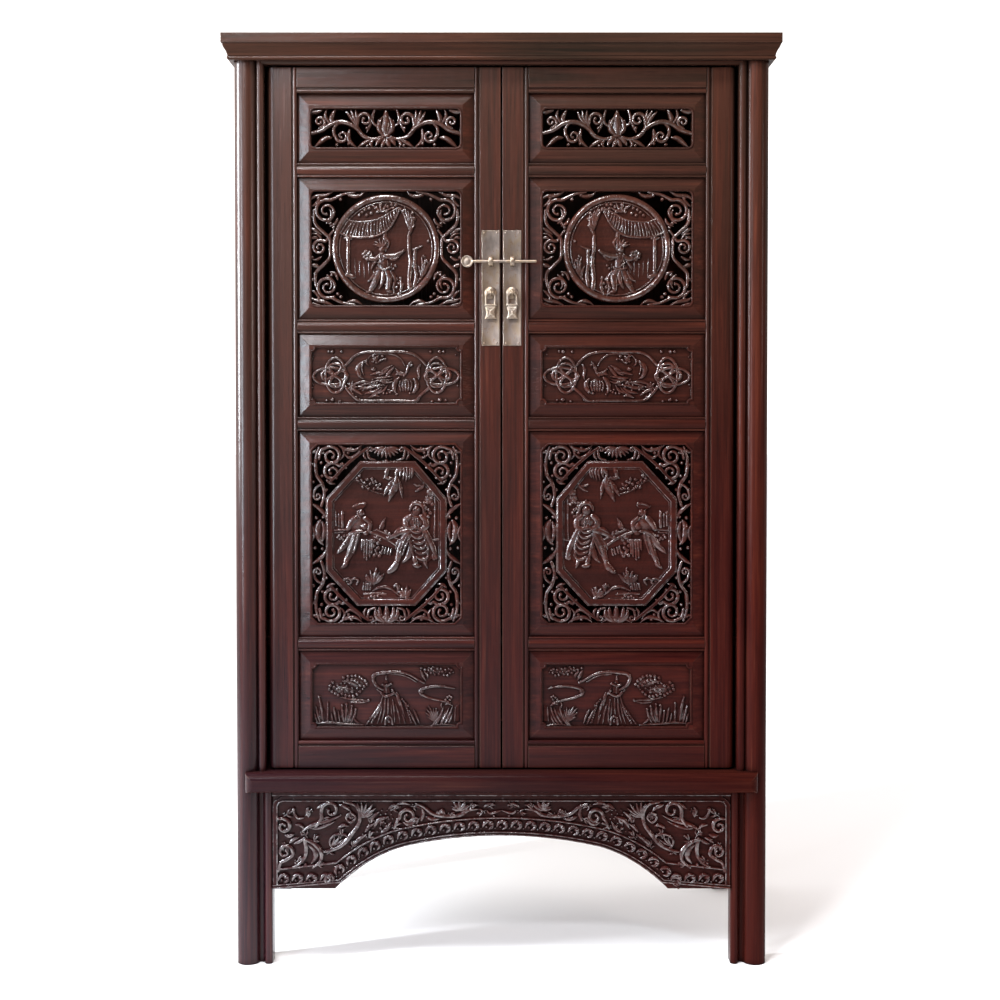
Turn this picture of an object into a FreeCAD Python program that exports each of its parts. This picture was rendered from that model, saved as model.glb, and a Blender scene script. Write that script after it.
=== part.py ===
import FreeCAD, Part
import math
import os

import Sketcher

# A two-door wedding cabinet: round-fronted posts, a mitred cornice, doors of stiles,
# rails and five carved panels each, a ledge rail, a carved apron and brass hardware.
# The origin is on the floor under the middle; +Z is up and the doors face -Y.
# Left and right are as seen from the front. Pieces of a pair are drawn on the right,
# which is +X, and mirrored to the left.

SIZES = [
    # The whole cabinet
    ("overall_height", 1845, "floor to the top of the cornice"),
    ("body_width", 1056, "over the outer faces of the posts"),
    ("body_depth", 490, "crown of the front posts to the back of the rear posts"),
    # Posts and legs
    ("post_width", 42, "width of every post"),
    ("front_post_depth", 46, "front post, crown to back"),
    ("post_crown", 12, "rise of the rounded front of a post"),
    ("rear_post_depth", 42, "rear post, front to back"),
    ("leg_cove_width", 12, "hollow between a leg and its inner bead"),
    ("leg_cove_sink", 4, "depth of that hollow"),
    ("leg_bead_width", 16, "bead on the inner side of a leg"),
    ("leg_bead_rise", 8, "rise of that bead"),
    ("leg_bead_body", 25, "depth of the leg strip behind its bead"),
    # Cornice and top
    ("cornice_seat", 33, "thickness of the cornice over the posts"),
    ("cornice_lip", 17, "how far the cornice hangs below the post tops"),
    ("cornice_reach", 21, "how far the cornice stands out from the posts"),
    ("cornice_fascia", 19, "height of the flat top edge"),
    ("cornice_step", 2, "fillet below the flat edge"),
    ("cornice_ogee", 9, "how far the ogee runs in"),
    ("cornice_bead", 8, "height of the small bead under the ogee"),
    ("cornice_lap", 32, "how far the cornice laps over the posts"),
    ("top_board_drop", 3, "top board below the cornice top"),
    # Lintel, jamb beads and ledge
    ("lintel_height", 22, "front top rail"),
    ("bead_width", 16, "jamb and lintel bead"),
    ("bead_depth", 34, "jamb bead, crown to back"),
    ("bead_setback", 6, "bead crown behind the post crown"),
    ("ledge_top", 388, "floor to the top of the ledge rail"),
    ("ledge_height", 38, "ledge rail, top to underside"),
    ("ledge_reach", 21, "ledge in front of the post crown"),
    ("ledge_end_setback", 19, "ledge end in from the outer face of a post"),
    ("ledge_top_round", 14, "upper front edge of the ledge"),
    ("ledge_under_round", 8, "lower front edge of the ledge"),
    ("ledge_end_round", 16, "rounding of the ledge ends in plan"),
    # Sides and back
    ("rail_thickness", 24, "side and rear rails"),
    ("rail_height", 50, "top and middle rails of the sides and back"),
    ("rail_setback", 3, "rails behind the outer faces of the posts"),
    ("board_thickness", 12, "side and back boards"),
    ("middle_rail_height", 1075, "floor to the underside of the middle side rails"),
    ("back_stile_width", 60, "upright in the middle of the back"),
    # Shelves and floor
    ("shelf_thickness", 18, "shelves and floor board"),
    ("upper_shelf_height", 1188, "floor to the top of the upper shelf"),
    ("lower_shelf_height", 650, "floor to the top of the lower shelf"),
    ("shelf_setback", 10, "shelf edge behind the front posts"),
    ("bearer_height", 20, "bars that carry the shelves"),
    # Aprons
    ("apron_thickness", 22, "front apron board"),
    ("apron_setback", 8, "apron face behind the post crown"),
    ("apron_foot_height", 150, "floor to the straight lower edge"),
    ("arch_rise", 107, "rise of the arch above the straight edge"),
    ("arch_half_width", 333, "half the width of the arch"),
    ("apron_rim_width", 5, "raised line along the arch and the top"),
    ("apron_rim_rise", 3, "relief of the raised lines and buds"),
    ("bud_row_height", 30, "height of the row of buds over the arch"),
    ("bud_width", 16, "width of one bud"),
    ("side_apron_foot", 110, "depth of the side apron at its ends"),
    ("side_apron_middle", 60, "depth of the side apron at its middle"),
    # Doors
    ("door_thickness", 30, "stiles and rails"),
    ("door_setback", 18, "door face behind the post crown"),
    ("jamb_gap", 4, "gap between a door and its jamb bead"),
    ("seam_gap", 4, "gap between the two doors"),
    ("door_end_gap", 4, "gap above and below a door"),
    ("hinge_stile_width", 60, "stile on the hinge side, over its bead"),
    ("meeting_stile_width", 52, "stile at the seam, over its bead"),
    ("door_top_rail_height", 50, "top rail of a door, over its bead"),
    ("door_bottom_rail_height", 54, "bottom rail of a door, over its bead"),
    ("middle_rail_width", 28, "rails between the panels"),
    ("door_bead_width", 8, "bead round the panels"),
    ("door_quirk_width", 3, "groove beside the bead"),
    ("door_quirk_sink", 3, "depth of that groove"),
    ("middle_rail_fillet", 4, "thin bead on each side of a middle rail"),
    ("middle_rail_crown", 5, "rise of the rounded middle rail"),
    ("pivot_radius", 7, "wooden pivots at the ends of the hinge stile"),
    ("pivot_length", 14, "length of a pivot inside its socket"),
    ("pivot_clearance", 0.4, "radial gap between pivot and socket"),
    # Door panels
    ("scroll_panel_part", 138, "top panel, its part of the height of all five"),
    ("medallion_panel_part", 282, "panel with the round medallion, its part"),
    ("knot_panel_part", 166, "panel with the ring knots, its part"),
    ("figure_panel_part", 412, "tall panel with two figures, its part"),
    ("landscape_panel_part", 180, "bottom panel with the landscape, its part"),
    ("drawn_panel_width", 352, "width of the panels that the carvings are drawn for"),
    ("panel_setback", 9, "rim of a panel behind the door face"),
    ("panel_thickness", 17, "thickness of the rim"),
    ("bevel_width", 23, "bevel round the field"),
    ("bevel_rise", 6, "how far the bevel comes forward"),
    ("field_bead_width", 5, "small bead round the field"),
    ("field_bead_rise", 1.5, "rise of that bead above the bevel"),
    ("fret_thickness", 14, "pierced carving"),
    ("relief_rise", 6, "carving on a solid ground"),
    ("strand_width", 7, "width of a carved strand"),
    ("corner_notch", 10, "small square corners of the solid fields"),
    # Brass
    ("plate_thickness", 1.2, "lock plate"),
    ("plate_width", 35, "lock plate"),
    ("plate_length", 228, "lock plate"),
    ("plate_edge", 2, "plate in from the edge of the door"),
    ("plate_foot_height", 1236, "floor to the lower end of the plates"),
    ("tack_radius", 2.2, "tacks in the corners of the plates"),
    ("tack_rise", 1.2, "dome of a tack"),
    ("tack_inset", 5, "tack in from the edges of the plate"),
    ("staple_width", 7, "staple that the lock pin goes through"),
    ("staple_height", 20, "staple, top to bottom"),
    ("staple_reach", 17, "staple out from the plate"),
    ("pin_height", 1402, "floor to the lock pin"),
    ("pin_radius", 2.9, "rod of the lock pin"),
    ("pin_clearance", 0.6, "radial gap between pin and staple"),
    ("pin_stand_off", 8.5, "plate face to the axis of the pin"),
    ("pin_tip_reach", 66, "tip of the pin, right of the seam"),
    ("pin_head_reach", 68, "middle of the disc head, left of the seam"),
    ("pin_head_radius", 11.5, "disc head"),
    ("pin_head_thickness", 4, "disc head"),
    ("pin_head_rim", 3, "raised rim of the disc head"),
    ("pull_height", 1340, "floor to the hinge of the pulls"),
    ("pull_stand_off", 9, "plate face to the hinge of a pull"),
    ("pull_thickness", 5, "pull, front to back"),
    ("pull_bar", 5, "width of the bar of the arch"),
    ("pull_arch_radius", 9, "middle line of the arch"),
    ("pull_arch_drop", 13, "straight legs of the arch"),
    ("pull_knuckle_radius", 2.8, "round knuckle of a pull, inside its eye"),
    ("pull_knuckle_length", 9, "round knuckle of a pull"),
    ("pull_foot_height", 4, "cross bar under the arch"),
    ("pull_foot_width", 25, "cross bar under the arch"),
    ("pull_groove", 1.5, "groove under the cross bar"),
    ("pendant_width", 21, "pendant at its ends"),
    ("pendant_waist", 16, "pendant at its waist"),
    ("pendant_height", 24, "pendant, top to bottom"),
    ("eye_hole", 4.4, "inner radius of the eye of a pull"),
    ("eye_wire", 1.4, "wire radius of that eye"),
    ("boss_radius", 12.4, "domed boss behind a pull"),
    ("boss_rise", 4, "height of that dome"),
    # Making
    ("overrun", 5, "how far a cut passes the surface that it cuts"),
]

# How far the middle of a quarter round lies in from its square corner, as a share of its radius
QUARTER_BOW = 1 - math.sqrt(0.5)

document = FreeCAD.newDocument("cupboard")
sheet = document.addObject("Spreadsheet::Sheet", "Sizes")


class Size:
    """A length, kept with the sheet expression that gives it."""

    def __init__(self, value, text):
        self.value = value
        self.text = text

    def joined(self, sign, other, value):
        return Size(value, f"({self.text} {sign} {as_size(other).text})")

    def __add__(self, other):
        return self.joined("+", other, self.value + as_size(other).value)

    def __sub__(self, other):
        return self.joined("-", other, self.value - as_size(other).value)

    def __mul__(self, other):
        return self.joined("*", other, self.value * as_size(other).value)

    def __truediv__(self, other):
        return self.joined("/", other, self.value / as_size(other).value)

    def __neg__(self):
        return Size(-self.value, f"(0 - {self.text})")


def as_size(number):
    return number if isinstance(number, Size) else Size(number, str(number))


class Cabinet:
    """The driving sizes of the sheet, each under its own name."""


cabinet = Cabinet()
for row, (alias, number, meaning) in enumerate(SIZES, start=1):
    sheet.set(f"A{row}", meaning)
    sheet.set(f"B{row}", str(number))
    sheet.setAlias(f"B{row}", alias)
    setattr(cabinet, alias, Size(number, f"Sizes.{alias}"))
document.recompute()

# Places that several pieces share
c = cabinet
nothing = as_size(0)
post_outer = c.body_width / 2
post_inner = post_outer - c.post_width
crown_front = -c.body_depth / 2
post_side_front = crown_front + c.post_crown
front_post_back = crown_front + c.front_post_depth
back_plane = c.body_depth / 2
rear_post_front = back_plane - c.rear_post_depth
post_top = c.overall_height - c.cornice_seat
lintel_under = post_top - c.lintel_height
bead_inner = post_inner - c.bead_width
bead_front = crown_front + c.bead_setback
bead_flat = bead_front + c.bead_width / 2
ledge_under = c.ledge_top - c.ledge_height
ledge_front = crown_front - c.ledge_reach
ledge_length = c.body_width - c.ledge_end_setback * 2
leg_inner = post_inner - c.leg_cove_width - c.leg_bead_width

door_face = crown_front + c.door_setback
door_back = door_face + c.door_thickness
door_middle = door_face + c.door_thickness / 2
door_foot = c.ledge_top + c.door_end_gap
door_head = lintel_under - c.door_end_gap
door_outer = bead_inner - c.jamb_gap
door_inner = c.seam_gap / 2
hinge_axis = door_outer - c.door_thickness / 2
panel_outer = door_outer - c.hinge_stile_width
panel_inner = door_inner + c.meeting_stile_width
panel_front = door_face + c.panel_setback
panel_back = panel_front + c.panel_thickness
field_front = panel_front - c.bevel_rise
field_bead_front = field_front - c.field_bead_rise

rail_outer = post_outer - c.rail_setback
rail_inner = rail_outer - c.rail_thickness
board_gap = (c.rail_thickness - c.board_thickness) / 2
board_outer = rail_outer - board_gap
board_inner = board_outer - c.board_thickness
rear_rail_back = back_plane - c.rail_setback
rear_rail_front = rear_rail_back - c.rail_thickness
back_board_front = rear_rail_front + board_gap
rail_top_foot = post_top - c.rail_height
side_length = rear_post_front - front_post_back
shelf_front = front_post_back + c.shelf_setback

plate_inner = door_inner + c.plate_edge
plate_middle = plate_inner + c.plate_width / 2
plate_face = door_face - c.plate_thickness
pin_axis = plate_face - c.pin_stand_off
pull_axis = plate_face - c.pull_stand_off

nodes = []


def node(label, item):
    """Names a finished sub-part, which is written to a file of that name."""
    item.Label = label
    nodes.append(item)
    return item


def bind(item, path, size):
    item.setExpression(path, as_size(size).text)


def place(item, x=nothing, y=nothing, z=nothing):
    for axis, size in zip("xyz", (x, y, z)):
        bind(item, f"Placement.Base.{axis}", size)
    return item


def block(name, x, y, z):
    """A board given by its two faces along each axis."""
    item = document.addObject("Part::Box", name)
    for path, (start, end) in zip(("Length", "Width", "Height"), (x, y, z)):
        bind(item, path, end - start)
    return place(item, x[0], y[0], z[0])


def rod(name, radius, length, direction, x, y, z):
    """A cylinder that starts at a point and runs along +X, -Y or +Z."""
    item = document.addObject("Part::Cylinder", name)
    bind(item, "Radius", radius)
    bind(item, "Height", length)
    turns = {"x": ((0, 1, 0), 90), "y": ((1, 0, 0), 90), "z": ((0, 0, 1), 0)}
    axis, angle = turns[direction]
    item.Placement.Rotation = FreeCAD.Rotation(FreeCAD.Vector(*axis), angle)
    return place(item, x, y, z)


def cut(name, base, tool):
    item = document.addObject("Part::Cut", name)
    item.Base = base
    item.Tool = tool
    return item


def common(name, base, tool):
    item = document.addObject("Part::Common", name)
    item.Base = base
    item.Tool = tool
    return item


def fuse(name, items):
    item = document.addObject("Part::MultiFuse", name)
    item.Shapes = items
    return item


def group(name, items):
    """Separate solids that share one node."""
    item = document.addObject("Part::Compound", name)
    item.Links = items
    return item


def mirrored(name, source):
    """The same piece on the other side of the cabinet's middle plane."""
    item = document.addObject("Part::Mirroring", name)
    item.Source = source
    item.Normal = (1, 0, 0)
    return item


def pair(name, item):
    """The right-hand piece as drawn, and its mirror on the left."""
    document.recompute()
    node(f"right_{name}", item)
    node(f"left_{name}", mirrored(f"left_{name}_mirror", item))
    return item


class Crest:
    """A point that the curve between two corners of an outline passes through."""

    def __init__(self, u, v):
        self.u = as_size(u)
        self.v = as_size(v)


def vector(u, v):
    return FreeCAD.Vector(u.value, v.value, 0)


def draw_outline(sketch, points):
    """Draws a closed outline of corners, with an arc wherever a Crest lies between."""
    corners = [
        (as_size(point[0]), as_size(point[1]))
        for point in points if not isinstance(point, Crest)
    ]
    crests = {}
    count = 0
    for point in points:
        if isinstance(point, Crest):
            crests[count - 1] = point
        else:
            count += 1
    first = sketch.GeometryCount
    ends = []
    for index, start in enumerate(corners):
        end = corners[(index + 1) % len(corners)]
        crest = crests.get(index)
        if crest is None:
            sketch.addGeometry(Part.LineSegment(vector(*start), vector(*end)), False)
            ends.append((1, 2))
        else:
            middle = vector(crest.u, crest.v)
            sketch.addGeometry(Part.Arc(vector(*start), middle, vector(*end)), False)
            begun = sketch.getPoint(first + index, 1).distanceToPoint(vector(*start))
            ended = sketch.getPoint(first + index, 2).distanceToPoint(vector(*start))
            ends.append((1, 2) if begun < ended else (2, 1))
    rules = []
    named = []
    for index, (u, v) in enumerate(corners):
        edge = first + index
        following = first + (index + 1) % len(corners)
        rules.append(Sketcher.Constraint(
            "Coincident", edge, ends[index][1], following, ends[(index + 1) % len(corners)][0]))
        named.append((edge, ends[index][0], u, v))
    for index, crest in crests.items():
        mark = sketch.addGeometry(Part.Point(vector(crest.u, crest.v)), True)
        rules.append(Sketcher.Constraint("PointOnObject", mark, 1, first + index))
        named.append((mark, 1, crest.u, crest.v))
    for edge, end, u, v in named:
        for kind, size, letter in (("DistanceX", u, "u"), ("DistanceY", v, "v")):
            rule = Sketcher.Constraint(kind, -1, 1, edge, end, size.value)
            rule.Name = f"{letter}{edge}"
            rules.append(rule)
    sketch.addConstraint(rules)
    for edge, end, u, v in named:
        bind(sketch, f"Constraints.u{edge}", u)
        bind(sketch, f"Constraints.v{edge}", v)


def draw_circle(sketch, u, v, radius):
    circle = Part.Circle(vector(u, v), FreeCAD.Vector(0, 0, 1), radius.value)
    edge = sketch.addGeometry(circle, False)
    rules = []
    for kind, size, letter in (("DistanceX", u, "u"), ("DistanceY", v, "v")):
        rule = Sketcher.Constraint(kind, -1, 1, edge, 3, size.value)
        rule.Name = f"{letter}{edge}"
        rules.append(rule)
    rule = Sketcher.Constraint("Radius", edge, radius.value)
    rule.Name = f"r{edge}"
    rules.append(rule)
    sketch.addConstraint(rules)
    for letter, size in (("u", u), ("v", v), ("r", radius)):
        bind(sketch, f"Constraints.{letter}{edge}", size)


def new_sketch(body, role, name):
    """A sketch on one of the body's own planes."""
    sketch = body.newObject("Sketcher::SketchObject", name)
    plane = [item for item in body.Origin.OriginFeatures if item.Role == role][0]
    sketch.AttachmentSupport = [(plane, "")]
    sketch.MapMode = "FlatFace"
    return sketch


def section(name, role, points, length, at=(nothing, nothing, nothing), holes=()):
    """A body of one section: XY runs up, XZ runs forward and YZ runs to the right."""
    body = document.addObject("PartDesign::Body", name)
    sketch = new_sketch(body, role, f"{name}_section")
    draw_outline(sketch, points)
    for hole in holes:
        draw_circle(sketch, *hole)
    pad = body.newObject("PartDesign::Pad", f"{name}_pad")
    pad.Profile = sketch
    bind(pad, "Length", length)
    return place(body, *at)


def pocket(body, name, role, outlines=(), circles=(), depth=None, level=None, forward=False):
    """Cuts outlines or circles out of a body, to a depth or right through it."""
    sketch = new_sketch(body, role, f"{name}_outline")
    if level is not None:
        bind(sketch, "AttachmentOffset.Base.z", level)
    for outline in outlines:
        draw_outline(sketch, outline)
    for circle in circles:
        draw_circle(sketch, *circle)
    item = body.newObject("PartDesign::Pocket", name)
    item.Profile = sketch
    item.Reversed = forward
    if depth is None:
        item.Type = "ThroughAll"
    else:
        bind(item, "Length", depth)
    return item


# Carcase


def make_front_posts():
    """Posts with a rounded front; below the ledge each has a hollow and a bead inside."""
    outline = [
        (post_inner, front_post_back),
        (post_outer, front_post_back),
        (post_outer, post_side_front),
        Crest(post_outer - c.post_width / 2, crown_front),
        (post_inner, post_side_front),
    ]
    body = section("front_post_body", "XY_Plane", outline, post_top)
    strip_front = bead_front + c.leg_bead_rise
    strip_back = strip_front + c.leg_bead_body
    bead_outer = post_inner - c.leg_cove_width
    sketch = new_sketch(body, "XY_Plane", "leg_strip_section")
    draw_outline(sketch, [
        (post_inner, strip_back),
        (post_inner, strip_front),
        Crest(post_inner - c.leg_cove_width / 2, strip_front + c.leg_cove_sink),
        (bead_outer, strip_front),
        Crest(bead_outer - c.leg_bead_width / 2, bead_front),
        (leg_inner, strip_front),
        (leg_inner, strip_back),
    ])
    pad = body.newObject("PartDesign::Pad", "leg_strip_pad")
    pad.Profile = sketch
    bind(pad, "Length", ledge_under)
    return pair_first("front_post", body)


def pair_first(name, item):
    """A pair whose names begin with front or rear, such as front_left_post."""
    document.recompute()
    end, kind = name.split("_")
    left = mirrored(f"{end}_left_mirror", item)
    return node(f"{end}_right_{kind}", item), node(f"{end}_left_{kind}", left)


def make_rear_posts():
    post = block(
        "rear_post_block", (post_inner, post_outer), (rear_post_front, back_plane), (nothing, post_top))
    pair_first("rear_post", post)


def mitre_triangle(side):
    """The corner that the lintel gives up to a jamb bead, or the other way round."""
    return [
        (bead_inner * side, lintel_under),
        (post_inner * side, lintel_under + c.bead_width),
        (post_inner * side, lintel_under),
    ]


def make_front_top_rail():
    """The lintel: a half-round bead below a flat face, with two pivot sockets."""
    points = [
        (front_post_back, lintel_under),
        (bead_flat, lintel_under),
        Crest(bead_front, lintel_under + c.bead_width / 2),
        (bead_flat, lintel_under + c.bead_width),
        (bead_flat, post_top),
        (front_post_back, post_top),
    ]
    body = section(
        "front_top_rail_body", "YZ_Plane", points, post_inner * 2, (-post_inner, nothing, nothing))
    corners = [
        [(u + post_inner, v) for u, v in mitre_triangle(side)] for side in (1, -1)
    ]
    pocket(body, "lintel_mitres", "XZ_Plane", outlines=corners, forward=True)
    sockets = [
        (post_inner + hinge_axis * side, door_middle, c.pivot_radius + c.pivot_clearance)
        for side in (1, -1)
    ]
    pocket(body, "upper_sockets", "XY_Plane", circles=sockets,
           depth=c.pivot_length + c.pivot_clearance, level=lintel_under, forward=True)
    node("front_top_rail", body)


def make_jamb_beads():
    """Half-round strips between the posts and the doors, mitred to the lintel."""
    points = [
        (bead_inner, bead_front + c.bead_depth),
        (post_inner, bead_front + c.bead_depth),
        (post_inner, bead_flat),
        Crest(post_inner - c.bead_width / 2, bead_front),
        (bead_inner, bead_flat),
    ]
    height = lintel_under + c.bead_width - c.ledge_top
    body = section(
        "jamb_bead_body", "XY_Plane", points, height, (nothing, nothing, c.ledge_top))
    corner = [
        (bead_inner, lintel_under - c.ledge_top),
        (post_inner, height),
        (bead_inner, height),
    ]
    pocket(body, "jamb_mitre", "XZ_Plane", outlines=[corner], forward=True)
    pair("jamb_bead", body)


def make_front_bottom_rail(posts):
    """The ledge: a rounded rail whose lip laps over the fronts of the posts."""
    top = c.ledge_top
    top_bow = c.ledge_top_round * QUARTER_BOW
    under_bow = c.ledge_under_round * QUARTER_BOW
    points = [
        (front_post_back, ledge_under),
        (ledge_front + c.ledge_under_round, ledge_under),
        Crest(ledge_front + under_bow, ledge_under + under_bow),
        (ledge_front, ledge_under + c.ledge_under_round),
        (ledge_front, top - c.ledge_top_round),
        Crest(ledge_front + top_bow, top - top_bow),
        (ledge_front + c.ledge_top_round, top),
        (front_post_back, top),
    ]
    half = ledge_length / 2
    body = section(
        "ledge_body", "YZ_Plane", points, ledge_length, (-half, nothing, nothing))
    bend = c.ledge_end_round
    corners = []
    for start, inward in ((nothing, 1), (ledge_length, -1)):
        corners.append([
            (start - c.overrun * inward, ledge_front - c.overrun),
            (start + bend * inward, ledge_front - c.overrun),
            (start + bend * inward, ledge_front),
            Crest(start + bend * (QUARTER_BOW * inward), ledge_front + bend * QUARTER_BOW),
            (start, ledge_front + bend),
            (start - c.overrun * inward, ledge_front + bend),
        ])
    pocket(body, "ledge_ends", "XY_Plane", outlines=corners, forward=True)
    sockets = [
        (half + hinge_axis * side, door_middle, c.pivot_radius + c.pivot_clearance)
        for side in (1, -1)
    ]
    pocket(body, "lower_sockets", "XY_Plane", circles=sockets,
           depth=c.pivot_length + c.pivot_clearance, level=top)
    document.recompute()
    rail = cut("ledge_right_cut", body, posts[0])
    node("front_bottom_rail", cut("ledge_left_cut", rail, posts[1]))


def make_side_rails():
    """Top, middle and bottom rails between a front post and a rear post."""
    spans = (
        (rail_top_foot, post_top),
        (c.middle_rail_height, c.middle_rail_height + c.rail_height),
        (ledge_under, c.ledge_top),
    )
    rails = [
        block("side_rail", (rail_inner, rail_outer), (front_post_back, rear_post_front), span)
        for span in spans
    ]
    pair("side_rails", group("side_rail_group", rails))


def make_side_panels():
    """An upper and a lower board, held between the side rails."""
    spans = (
        (c.middle_rail_height + c.rail_height, rail_top_foot),
        (c.ledge_top, c.middle_rail_height),
    )
    boards = [
        block("side_board", (board_inner, board_outer), (front_post_back, rear_post_front), span)
        for span in spans
    ]
    pair("side_panels", group("side_board_group", boards))


def make_back():
    """Two rear rails, an upright between them and a board on each side of it."""
    rear = (rear_rail_front, rear_rail_back)
    rails = [
        block("rear_rail", (-post_inner, post_inner), rear, span)
        for span in ((rail_top_foot, post_top), (ledge_under, c.ledge_top))
    ]
    node("rear_rails", group("rear_rail_group", rails))
    half = c.back_stile_width / 2
    height = (c.ledge_top, rail_top_foot)
    node("back_stile", block("back_stile_block", (-half, half), rear, height))
    thickness = (back_board_front, back_board_front + c.board_thickness)
    boards = [
        block("back_board", span, thickness, height)
        for span in ((-post_inner, -half), (half, post_inner))
    ]
    node("back_panels", group("back_board_group", boards))


def cornice_points(face):
    """The section of a cornice rail: u is outward from the post faces, v is up."""
    top = c.overall_height
    step = top - c.cornice_fascia
    bead_top = post_top - c.cornice_lip + c.cornice_bead
    reach = c.cornice_reach
    ogee_start = reach - c.cornice_step
    ogee_end = ogee_start - c.cornice_ogee
    ogee_middle = (step + bead_top) / 2
    quarter = (step - bead_top) / 4
    outline = [
        (-c.cornice_lap, post_top),
        (nothing, post_top),
        (nothing, post_top - c.cornice_lip),
        (ogee_end - c.cornice_step, post_top - c.cornice_lip),
        Crest(ogee_end + c.cornice_step / 2, bead_top - c.cornice_bead / 2),
        (ogee_end - c.cornice_step, bead_top),
        (ogee_end, bead_top),
        Crest(ogee_end + c.cornice_ogee * 0.15, bead_top + quarter),
        (ogee_end + c.cornice_ogee / 2, ogee_middle),
        Crest(ogee_start - c.cornice_ogee * 0.15, step - quarter),
        (ogee_start, step),
        (reach, step),
        (reach, top),
        (-c.cornice_lap, top),
    ]
    return [
        Crest(face + point.u, point.v) if isinstance(point, Crest) else (face + point[0], point[1])
        for point in outline
    ]


def make_cornice():
    """Four moulded rails, mitred at the corners, with the top board inside them."""
    width = post_outer + c.cornice_reach
    depth = back_plane + c.cornice_reach
    inner_width = post_outer - c.cornice_lap
    inner_depth = back_plane - c.cornice_lap
    side = section(
        "cornice_side_body", "XZ_Plane", cornice_points(post_outer), depth * 2,
        (nothing, depth, nothing))
    mitre = [
        (width, nothing),
        (inner_width, c.cornice_reach + c.cornice_lap),
        (inner_width, nothing),
    ]
    far = [(u, depth * 2 - v) for u, v in mitre]
    pocket(side, "side_mitres", "XY_Plane", forward=True,
           outlines=[[(u, -v) for u, v in mitre], [(u, -v) for u, v in far]])
    pair("cornice_rail", side)
    back = section(
        "cornice_back_body", "YZ_Plane", cornice_points(back_plane), width * 2,
        (-width, nothing, nothing))
    near = [(nothing, depth), (c.cornice_reach + c.cornice_lap, inner_depth), (nothing, inner_depth)]
    pocket(back, "back_mitres", "XY_Plane", forward=True,
           outlines=[near, [(width * 2 - u, v) for u, v in near]])
    document.recompute()
    node("back_cornice_rail", back)
    front = document.addObject("Part::Mirroring", "front_cornice_mirror")
    front.Source = back
    front.Normal = (0, 1, 0)
    node("front_cornice_rail", front)
    node("top_board", block(
        "top_board_block", (-inner_width, inner_width), (-inner_depth, inner_depth),
        (post_top, c.overall_height - c.top_board_drop)))


def notched_board(name, height):
    """A board between the sides, notched round the rear posts."""
    points = [
        (-board_inner, shelf_front),
        (board_inner, shelf_front),
        (board_inner, rear_post_front),
        (post_inner, rear_post_front),
        (post_inner, rear_rail_front),
        (-post_inner, rear_rail_front),
        (-post_inner, rear_post_front),
        (-board_inner, rear_post_front),
    ]
    return section(name, "XY_Plane", points, c.shelf_thickness, (nothing, nothing, height))


def make_shelves():
    """Two shelves, the floor board behind the ledge, and the bars under them."""
    heights = {"upper_shelf": c.upper_shelf_height, "lower_shelf": c.lower_shelf_height}
    bearers = []
    for label, top in heights.items():
        under = top - c.shelf_thickness
        node(label, notched_board(f"{label}_body", under))
        for inner, outer in ((post_inner, board_inner), (-board_inner, -post_inner)):
            bearers.append(block(
                "shelf_bearer", (inner, outer), (front_post_back, rear_post_front),
                (under - c.bearer_height, under)))
    floor_foot = c.ledge_top - c.shelf_thickness
    node("floor_board", block(
        "floor_board_block", (-rail_inner, rail_inner), (front_post_back, rear_post_front),
        (floor_foot, c.ledge_top)))
    for inner, outer in ((post_inner, rail_inner), (-rail_inner, -post_inner)):
        bearers.append(block(
            "floor_bearer", (inner, outer), (front_post_back, rear_post_front),
            (ledge_under, floor_foot)))
    node("shelf_bearers", group("bearer_group", bearers))


# Aprons

# Where the arch turns from its flat middle into its sides, and a point halfway down a side,
# as shares of half its width and of its rise
ARCH_SHOULDER = (0.6, 0.785)
ARCH_HAUNCH = (0.814, 0.467)

arch_crown = c.apron_foot_height + c.arch_rise
apron_face = crown_front + c.apron_setback


def arch_mark(shares):
    """A point of the arch, given as shares of half its width and of its rise."""
    across, up = shares
    return c.arch_half_width * across, c.apron_foot_height + c.arch_rise * up


def arch_line(offset):
    """The edges of a line above the arch and its straight ends, drawn flat from left to right."""
    level = c.apron_foot_height.value + offset.value
    shoulder, haunch, end = (
        FreeCAD.Vector(across.value, up.value, 0)
        for across, up in map(arch_mark, (ARCH_SHOULDER, ARCH_HAUNCH, (1, 0))))
    top = FreeCAD.Vector(0, arch_crown.value, 0)
    middle = Part.Arc(flipped(shoulder), top, shoulder).toShape().Curve
    side = Part.Arc(shoulder, haunch, end).toShape().Curve

    def raised(point, circle):
        return point + (point - circle.Center).normalize() * offset.value

    shoulder = (raised(shoulder, middle) + raised(shoulder, side)) / 2
    top = raised(top, middle)
    haunch = raised(haunch, side)
    radius = side.Radius + offset.value
    reach = side.Center.x + math.sqrt(radius ** 2 - (level - side.Center.y) ** 2)
    end = FreeCAD.Vector(reach, level, 0)
    tip = FreeCAD.Vector((leg_inner - c.overrun).value, level, 0)
    return [
        Part.LineSegment(flipped(tip), flipped(end)).toShape(),
        Part.Arc(flipped(end), flipped(haunch), flipped(shoulder)).toShape(),
        Part.Arc(flipped(shoulder), top, shoulder).toShape(),
        Part.Arc(shoulder, haunch, end).toShape(),
        Part.LineSegment(end, tip).toShape(),
    ]


def flipped(point):
    """The same point on the other side of the middle of the front."""
    return FreeCAD.Vector(-point.x, point.y, point.z)


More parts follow.
